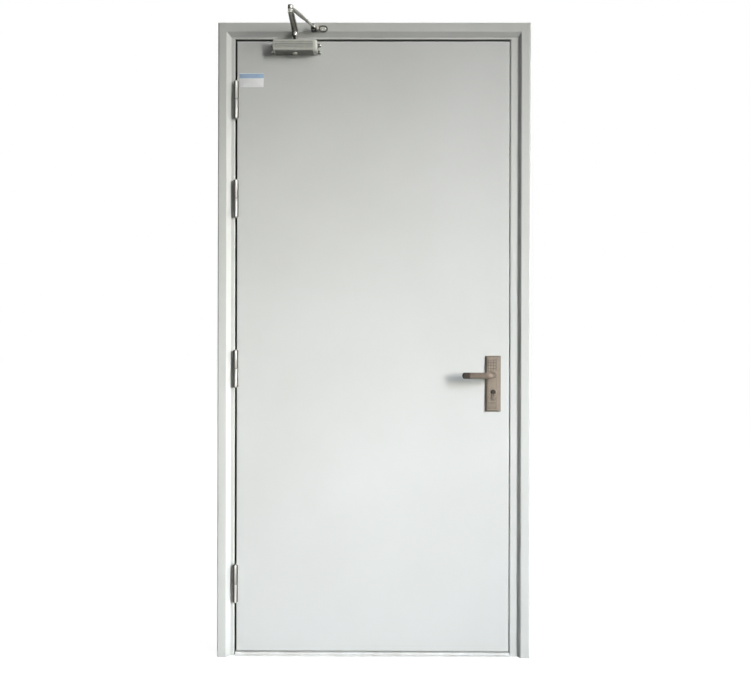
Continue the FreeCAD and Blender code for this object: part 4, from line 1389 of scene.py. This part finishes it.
@dataclass
class Closer:
    """The closer's ribbed casting with its caps, ears, boss and screws."""

    left: float = -328
    right: float = -202
    left_cap: float = 5
    right_cap: float = 14
    front: float = -88
    back: float = -43
    base_front: float = -50
    low: float = 2004.5
    high: float = 2043
    corner: float = 6
    ribs: float = 4.5
    rib_depth: float = 1.5
    ear: float = 10
    ear_spans: tuple[tuple[float, float], ...] = ((2006.75, 2017.75), (2029.75, 2040.75))
    boss_at: tuple[float, float] = (-262, -68)
    valve_at: tuple[float, float] = (-68, 2019)
    ear_screw: float = 3.6
    valve_screw: float = 3.2

    def casting(self) -> Surface:
        """The body's section carried along X: a box with round front corners and a waved front.

        The front's depth is half the rib depth times 1 - cos of the ribs' turns, fading at both ends.

        Returns:
            The casting.
        """
        turn = np.linspace(0, np.pi / 2, 7)
        reach = np.array([np.sin(turn), np.cos(turn)])
        inset = self.corner * (1 - reach)
        top = np.column_stack([self.front + inset[0], self.high - inset[1]])
        t = np.linspace(0, 1, 64)
        waves = 0.5 * self.rib_depth * (1 - np.cos(FULL_TURN * self.ribs * t)) * np.sin(np.pi * t) ** 0.3
        tall = self.high - self.low - 2 * self.corner
        face = np.column_stack([self.front + waves, self.high - self.corner - t * tall])
        under = np.column_stack([top[::-1, 0], self.low + self.high - top[::-1, 1]])
        ring = np.vstack([[(self.back, self.low), (self.back, self.high)], top, face[1:-1], under])
        # Painted shade: darker in the grooves between the ribs, and on the underside.
        dips = 0.6 * waves[1:-1] / self.rib_depth
        grooves = np.concatenate([np.zeros(2 + len(top)), dips, np.zeros(len(under))])
        below = smoothstep((self.low + self.corner - ring[:, 1]) / self.corner)
        middle = ring.mean(axis=0)
        insets = ((self.left, 0.985), (self.left + 1, 1), (self.right - 1, 1), (self.right, 0.985))
        rings = [np.insert(middle + (ring - middle) * scale, 0, x, axis=1) for x, scale in insets]
        dark = np.tile(np.maximum(grooves, 0.75 * below), (len(insets), 1))
        return loft(np.stack(rings), Ends.FAN, dark)

    def end_cap(self, start: float, reach: float) -> Surface:
        """A domed end: the plain section shrinking along a quarter ellipse.

        Args:
            start: Its place against the casting.
            reach: How far it stands out along X.

        Returns:
            The cap.
        """
        base, face = self.base_front, self.front
        corners = [(base, self.low), (base, self.high), (face, self.high), (face, self.low)]
        ring = rounded(corners, [1.5, 1.5, 8, 8], 8)
        middle = ring.mean(axis=0)
        angle = np.linspace(0, np.pi / 2, 8)
        outs = np.concatenate([[0], 0.4 + 0.6 * np.sin(angle)])
        scales = np.concatenate([[1], 0.8 + 0.2 * np.cos(angle)])
        rings = [
            np.insert(middle + (ring - middle) * scale, 0, start + reach * out, axis=1)
            for out, scale in zip(outs, scales)
        ]
        return loft(np.stack(rings))

    def build(self) -> None:
        """Shows the closer's body."""
        lugs = []
        places = []
        ear_ends = (self.left - self.left_cap - self.ear, self.right + self.right_cap + self.ear)
        ears = (
            (ear_ends[0], self.left, [4.5, 0.5, 0.5, 4.5], ear_ends[0] + 4.6),
            (self.right, ear_ends[1], [0.5, 4.5, 4.5, 0.5], ear_ends[1] - 4.6),
        )
        for x0, x1, radii, screw_x in ears:
            for z0, z1 in self.ear_spans:
                lug = slab(rounded_box((x0, z0), (x1, z1), radii), 0, self.back - self.base_front, 1.0)
                lugs.append(placed(lug, (0, self.back, 0), Facing.VIEWER))
                places.append((screw_x, self.base_front, (z0 + z1) / 2))
        shadowed_ears = join(lugs)
        x, y = self.boss_at
        boss = lathe([(8, 4), (8, -4.4), (7.2, -5.4), (5.2, -5.8), (5.0, -4.2), (1, -4.2)], (x, y, self.low))
        neck = lathe([(11, -2), (11, 0.6), (10.2, 1.4), (8, 1.6)], (x, y, self.high))
        # The ears are painted fully dark: painted shadow from the casting beside them.
        body = join([self.casting(), boss, neck, replace(shadowed_ears, patina_and_shade=np.ones(len(shadowed_ears.points)))])
        show("closer_ribbed_casting", body, CLOSER_PAINT, "leaf", ["closer_body"])
        caps = (("left", self.left, -self.left_cap), ("right", self.right, self.right_cap))
        for side, start, reach in caps:
            node = f"closer_{side}_cap"
            show(f"{node}_dome", self.end_cap(start, reach), CLOSER_PAINT, "leaf", [node])
        heads = screws(places, self.ear_screw, Facing.VIEWER)
        show("closer_ear_screws", heads, BRIGHT_STEEL, "leaf")
        valve_place = (self.right + self.right_cap, *self.valve_at)
        valve = placed(screw(self.valve_screw), valve_place, Facing.LOCK_SIDE)
        show("closer_valve_screw", valve, BRIGHT_STEEL, "leaf")


@dataclass
class CloserArms:
    """The main arm from the closer's spindle, the forearm with its threaded rod, and the shoe on the head."""

    spindle: tuple[float, float] = (-262, -68)
    elbow: tuple[float, float] = (-257, -239)
    shoe: tuple[float, float] = (-201, -80)
    body_top: float = 2043
    arm_low: float = 2072
    arm_high: float = 2079
    pin_top: float = 2080.5
    wide: float = 10.5
    narrow: float = 9
    eye_low: float = 2081
    eye_high: float = 2092
    sleeve: float = 122
    sleeve_radius: float = 6.4
    rod: float = 4
    thread_mm: float = 3.2
    shoe_low: float = 2076
    shoe_lug: float = 3.5
    plate_left: float = -209
    dish_left: float = -184
    plate_right: float = -155
    plate_high: float = 2098
    head_face: float = -55
    plate_thick: float = 4
    shoe_screws_x: tuple[float, float] = (-175, -164)
    shoe_screw: float = 2.6

    def plan(self, start: tuple[float, float], end: tuple[float, float]) -> tuple[float, Array, Array]:
        """Length, direction and sideways direction between two pivots in plan."""
        step = np.subtract(end, start)
        along = np.append(unit(step), 0)
        return float(np.linalg.norm(step)), along, np.array([-along[1], along[0], 0])

    def main_arm(self) -> Surface:
        """A pressed arm: at each place along it a section with a raised rib and rims.

        The half-width runs straight from wide to narrow between the pivots and along circles past them.

        Returns:
            The arm.
        """
        length, along, aside = self.plan(self.spindle, self.elbow)
        angle = np.linspace(0.06, np.pi / 2, 12)
        near = -self.wide * np.cos(angle)
        far = length + self.narrow * np.cos(angle[::-1])
        place = np.concatenate([near, np.linspace(0, length, 30)[1:-1], far])
        half = np.interp(place, [0, length], [self.wide, self.narrow])
        half = np.where(place < 0, np.sqrt(np.maximum(self.wide**2 - place**2, 0)), half)
        past = np.sqrt(np.maximum(self.narrow**2 - (place - length) ** 2, 0))
        half = np.where(place > length, past, half)
        share = np.sin(np.linspace(-np.pi / 2, np.pi / 2, 33))
        crown = 1.6 * abs(share) ** 8
        hollow = smoothstep((abs(share) - 0.3) / 0.12) * smoothstep((0.86 - abs(share)) / 0.1)
        ends_in = between(place, 14, length - 12, 10)
        sunk = 1.5 * hollow[None, :] * ends_in[:, None]
        top = self.arm_high - crown - sunk
        under = self.arm_low + crown + sunk
        across = np.concatenate([share, share[-2:0:-1]])
        heights = np.concatenate([top, under[:, -2:0:-1]], axis=1)
        base = np.append(self.spindle, 0) + place[:, None, None] * along
        rings = base + half[:, None, None] * across[None, :, None] * aside
        rings[..., 2] = heights
        # Painted shade in the pressed hollow.
        dark = np.concatenate([sunk, sunk[:, -2:0:-1]], axis=1) * 0.35
        return loft(rings, Ends.FAN, dark)

    def forearm(self) -> tuple[Surface, Surface, Surface]:
        """The sleeve and the threaded rod, each turned about the line from elbow to shoe.

        The sleeve's radius swells as the root of a sine; the rod's is a wave of one turn for each thread.

        Returns:
            The sleeve, the rod with its eye, and the elbow's eye.
        """
        length, along, _ = self.plan(self.elbow, self.shoe)
        middle = (self.eye_low + self.eye_high) / 2
        foot = (*self.elbow, middle)
        t = np.linspace(0, 1, 26)
        swell = 3.8 + (self.sleeve_radius - 3.8) * np.sin(np.pi * t) ** 0.9
        tube = np.column_stack([swell, 6 + t * (self.sleeve - 12)])
        mouth = self.sleeve
        collar = [(5.0, mouth - 8), (5.4, mouth - 7.4), (5.4, mouth - 0.6), (4.8, mouth)]
        tall = self.eye_high - self.eye_low
        eye = [(7.6, 0), (8.6, 0.4), (9, 1.2), (9, tall - 1.2), (8.6, tall - 0.4), (7.6, tall)]
        sleeve = join([lathe(tube, foot, along, 28), lathe(collar, foot, along, 6)])
        # Painted shade on the elbow eye's left side, leaving its right side bright.
        knuckle = shaded_left(lathe(eye, (*self.elbow, self.eye_low)), self.elbow[0] + 1, 4)
        reach = np.arange(self.sleeve - 2, length - 6, 0.4)
        crest = self.rod - 0.35 + 0.35 * np.cos(FULL_TURN * reach / self.thread_mm)
        thread = np.column_stack([crest, reach])
        bore = 4.1
        ring = [(bore, 0), (7.2, 0), (8, 0.8), (8, tall - 0.8), (7.2, tall), (bore, tall)]
        # Painted shade on the left of the rod's end eye.
        end = shaded_left(lathe(ring, (*self.shoe, self.eye_low), ends=Ends.LOOP), self.shoe[0] + 5, 4)
        rod = join([lathe(thread, foot, along, 24), end])
        return sleeve, rod, knuckle

    def shoe_dish(self) -> Surface:
        """A round-ended dish with a raised dark rim: rings about its middle line, drawn in step by step."""
        radius = (self.plate_high - self.shoe_low) / 2
        left, right = self.dish_left + radius, self.plate_right - radius
        turn = np.linspace(-np.pi / 2, np.pi / 2, 17)
        arc = np.column_stack([np.cos(turn), np.sin(turn)])
        spread = np.vstack([arc, -arc])
        centres = np.concatenate([np.full(17, right), np.full(17, left)])
        steps = np.array([(0, 0), (0, 2.8), (0.5, 3.7), (1.4, 4), (2.4, 4), (3.2, 3.4), (3.8, 2.4), (8, 2.2)])
        flat = spread[None] * (radius - steps[:, None, None, 0])
        out = np.broadcast_to(self.head_face - steps[:, 1:], flat.shape[:2])
        rings = np.stack([centres + flat[..., 0], out, self.shoe_low + radius + flat[..., 1]], axis=2)
        dark = np.broadcast_to(smoothstep((4.2 - steps[:, :1]) / 0.8), flat.shape[:2])
        return loft(rings, Ends.FAN, dark)

    def build(self) -> None:
        """Shows the arms and the shoe."""
        x, y = self.spindle
        top = self.body_top
        hub = self.arm_low
        stem = [(6.6, top - 18), (6.6, hub - 12.5)]
        # Painted shade down the stem's left side.
        spindle = shaded_left(lathe(stem, (x, y, 0)), x + 6, 4)
        show("closer_spindle_stem", spindle, ARM_STEEL, "main_arm", ["closer_spindle"])
        boss = [(6.8, hub - 14), (9.4, hub - 13), (10, hub - 12), (10, hub - 0.8), (9.2, hub)]
        # Painted shade on the hub's left, bright to the right.
        collar = shaded_left(lathe(boss, (x, y, 0)), x + 1, 6)
        show("closer_arm_hub", collar, BRIGHT_STEEL, "main_arm")
        show("closer_pressed_arm", self.main_arm(), ARM_STEEL, "main_arm", ["closer_main_arm"])
        face = self.arm_high
        nut = lathe([(7.6, face - 1), (7.6, face + 2), (6.4, face + 2.8)], (x, y, 0), segments=6)
        shank = [
            (5, hub - 2.4), (6.4, hub - 1.6), (6.8, hub + 0.4), (6, face - 1),
            (6, self.pin_top - 0.6), (5.4, self.pin_top),
        ]
        rivet = lathe(shank, (*self.elbow, 0))
        show("closer_arm_nut_and_rivet", join([nut, rivet]), BRIGHT_STEEL, "main_arm")
        sleeve, rod, knuckle = self.forearm()
        show("forearm_swelled_sleeve", sleeve, ARM_STEEL, "forearm", ["forearm_sleeve"])
        show("forearm_elbow_eye", knuckle, BRIGHT_STEEL, "forearm")
        show("forearm_threaded_rod", rod, ARM_STEEL, "forearm", ["forearm_rod"])
        dome = lathe([(5.4, -0.5), (5.4, 0.5), (4.4, 1.6), (1.5, 2.2)], (*self.elbow, self.eye_high))
        show("forearm_elbow_rivet", dome, BRIGHT_STEEL, "forearm")
        sx, sy = self.shoe
        lug_front = self.head_face - self.plate_thick + 0.5
        lug_corners = [(sx - 8, lug_front), (sx - 8, sy - 8), (sx + 8, sy - 8), (sx + 8, lug_front)]
        lug_ring = rounded(lug_corners, [0.5, 8, 8, 0.5])
        lug_top = self.shoe_low + self.shoe_lug
        lug = placed(slab(lug_ring, self.shoe_low, lug_top, 0.6), (0, 0, 0), Facing.UP)
        low, high = self.shoe_low, self.plate_high
        backing = rounded_box((self.plate_left, low), (self.dish_left + 12, high), [5, 1, 1, 5])
        plate = placed(slab(backing, 0, 2, 0.5), (0, self.head_face, 0), Facing.VIEWER)
        # Painted shade over the shoe plate and lug left of the dish.
        shoe = shaded_left(join([plate, lug]), self.dish_left, 3)
        show("closer_shoe_plate", shoe, ARM_STEEL, "frame", ["closer_shoe"])
        show("closer_shoe_dish", self.shoe_dish(), CLOSER_PAINT, "frame")
        eye = self.eye_high
        stud = [
            (3.4, low - 0.4), (5.2, low), (5.2, lug_top - 1), (4, lug_top), (4, eye),
            (5.6, eye + 0.1), (5.2, eye + 1.8), (3, eye + 2.4),
        ]
        # Painted shade on the pin's left side.
        pin = shaded_left(lathe(stud, (sx, sy, 0)), sx + 4, 4)
        show("closer_shoe_pin", pin, BRIGHT_STEEL, "frame")
        cheek_corners = [(-71, low + 4), (-58, low + 4), (-58, high), (-71, high - 5)]
        cheek_ring = rounded(cheek_corners, [2, 0.5, 0.5, 3])
        cheek_slab = slab(cheek_ring, self.dish_left - 8, self.dish_left - 1, 0.5)
        cheek = placed(cheek_slab, (0, 0, 0), Facing.LOCK_SIDE)
        show("closer_shoe_cheek", cheek, BRIGHT_STEEL, "frame")
        places = [(at, self.head_face - 2.4, (low + high) / 2) for at in self.shoe_screws_x]
        heads = screws(places, self.shoe_screw, Facing.VIEWER)
        show("closer_shoe_screws", heads, BRIGHT_STEEL, "frame")


# Studio

class LampKind(Enum):
    """What each lamp is for."""

    KEY = "from the upper right, gives the slopes and shadows their side"
    FILL = "narrow beam from the right, grades the leaf from head to foot"
    BACK = "behind the door, for views from the other side"


@dataclass
class Lamp:
    """A soft rectangular lamp aimed at a point, in metres."""

    kind: LampKind
    place: tuple[float, float, float]
    target: tuple[float, float, float]
    width: float
    height: float
    power: float
    colour: str
    spread_degrees: float = 180

    def build(self, number: int) -> None:
        """Adds the lamp.

        Args:
            number: Its number, for its name.
        """
        lamp = bpy.data.lights.new(f"{self.kind.name.lower()}_lamp_{number}", "AREA")
        lamp.shape = "RECTANGLE"
        lamp.size = self.width
        lamp.size_y = self.height
        lamp.energy = self.power
        lamp.color = linear(self.colour)[:3]
        lamp.spread = np.radians(self.spread_degrees)
        held = bpy.data.objects.new(lamp.name, lamp)
        bpy.context.scene.collection.objects.link(held)
        held.location = self.place
        held.rotation_euler = (Vector(self.place) - Vector(self.target)).to_track_quat("Z", "Y").to_euler()
        LOG.info("%s: %s", lamp.name, self.kind.value)


@dataclass
class Studio:
    """A pale floor, a white surround, soft lamps, and the camera where the photograph was taken."""

    floor_half: float = 14
    ambient: float = 0.01
    floor_glow: tuple[float, float] = (0.9, 1.0)
    floor_fade: tuple[float, float] = (1.2, 4.0)
    camera_place: tuple[float, float, float] = (0.0156, -2.5446, 1.158)
    camera_turn: tuple[float, float, float] = (-0.0005, -0.002, 0.0039)
    lens: float = 36
    sensor: float = 36
    shift: tuple[float, float] = (-0.0009, -0.0408)
    lamps: tuple[Lamp, ...] = (
        Lamp(LampKind.KEY, (5.6, -5.5, 5.4), (-0.4, 0, 1.4), 4.2, 4.2, 26, "#FEFFFB", 60),
        Lamp(LampKind.FILL, (5.45, -5.85, 1.6), (-0.5, 0, 0.75), 2.0, 2.4, 8.3, "#FFFCF4", 20),
        Lamp(LampKind.FILL, (5.45, -5.85, 3.0), (0.1, 0, 0.68), 2.0, 2.4, 11.1, "#FFFCFA", 20),
        Lamp(LampKind.FILL, (5.6, -5.7, 4.2), (0.1, 0, -0.4), 2.0, 2.4, 7.6, "#D3E6FF", 20),
        Lamp(LampKind.BACK, (-2.6, 3.6, 3.0), (0, 0, 1.0), 2.2, 2.2, 120, "#FFFFFF"),
        Lamp(LampKind.BACK, (2.8, 3.4, 1.8), (0, 0, 1.0), 1.8, 1.8, 60, "#FFFFFF"),
    )

    def seen(self, nodes: Nodes) -> Socket:
        """1 for rays from the camera, a gloss or a clear piece, and 0 for light on the object.

        Args:
            nodes: The nodes to add to.

        Returns:
            The socket that carries it.
        """
        path = nodes.add("ShaderNodeLightPath").outputs
        plain = nodes.math("MAXIMUM", path["Is Camera Ray"], path["Is Glossy Ray"])
        return nodes.math("MAXIMUM", plain, path["Is Transmission Ray"])

    def world(self) -> None:
        """A white surround that lights the object only a little."""
        world = bpy.data.worlds.new("white_surround")
        nodes = emptied(world)
        strength = nodes.span(self.seen(nodes), 0, 1, self.ambient, 1)
        glow = nodes.add("ShaderNodeBackground", {}, {"Color": WHITE, "Strength": strength})
        nodes.add("ShaderNodeOutputWorld", {}, {"Surface": glow.outputs[0]})
        bpy.context.scene.world = world

    def floor(self) -> None:
        """A flat pale floor that looks white and still takes the door's shadow."""
        reach = self.floor_half
        mesh = bpy.data.meshes.new("studio_floor")
        square = [(-reach, -reach, 0), (reach, -reach, 0), (reach, reach, 0), (-reach, reach, 0)]
        mesh.from_pydata(square, [], [(0, 1, 2, 3)])
        paint = bpy.data.materials.new("pale_studio_floor")
        nodes = emptied(paint)
        away = nodes.add("ShaderNodeVectorMath", {"operation": "LENGTH"}, {0: nodes.place()})
        fade = nodes.span(away.outputs["Value"], *self.floor_fade, *self.floor_glow)
        plain = nodes.add("ShaderNodeBsdfDiffuse", {}, {"Color": linear("#959593")})
        faint = nodes.add("ShaderNodeBsdfDiffuse", {}, {"Color": linear("#8A8A8A")})
        glow = nodes.add("ShaderNodeEmission", {}, {"Color": WHITE, "Strength": fade})
        white = nodes.add("ShaderNodeAddShader", {}, {0: faint.outputs[0], 1: glow.outputs[0]})
        shaders = {0: self.seen(nodes), 1: plain.outputs[0], 2: white.outputs[0]}
        mixed = nodes.add("ShaderNodeMixShader", {}, shaders)
        nodes.add("ShaderNodeOutputMaterial", {}, {"Surface": mixed.outputs[0]})
        mesh.materials.append(paint)
        floor = bpy.data.objects.new("studio_floor", mesh)
        bpy.context.scene.collection.objects.link(floor)

    def camera(self) -> None:
        """The photograph's camera, level and straight on but for a hair's turn."""
        lens = bpy.data.cameras.new("photo_camera")
        lens.lens = self.lens
        lens.sensor_width = self.sensor
        lens.shift_x, lens.shift_y = self.shift
        held = bpy.data.objects.new("photo_camera", lens)
        pitch, roll, yaw = self.camera_turn
        held.location = self.camera_place
        held.rotation_euler = (np.pi / 2 + pitch, roll, yaw)
        bpy.context.scene.collection.objects.link(held)
        bpy.context.scene.camera = held

    def build(self) -> None:
        """Sets the stage."""
        bpy.context.scene.view_settings.view_transform = "Standard"
        self.world()
        self.floor()
        for number, lamp in enumerate(self.lamps, start=1):
            lamp.build(number)
        self.camera()


def corners(bounds: tuple) -> list[list[float]]:
    """A box as plain lists of numbers."""
    return [[float(value) for value in corner] for corner in bounds]


def main() -> None:
    """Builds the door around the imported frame."""
    logging.basicConfig(level=logging.INFO, format="%(message)s")
    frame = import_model()
    nodes = frame["nodes"]
    PressedFrame().build()
    Threshold().build()
    Seals().build()
    Hinges().build()
    Leaf().build()
    dress(nodes, ["leaf_top_channel", "leaf_bottom_channel"], LEAF_PAINT)
    LockSet().build(nodes)
    Levers().build()
    Closer().build()
    CloserArms().build()
    Studio().build()


if __name__ == "__main__":
    main()
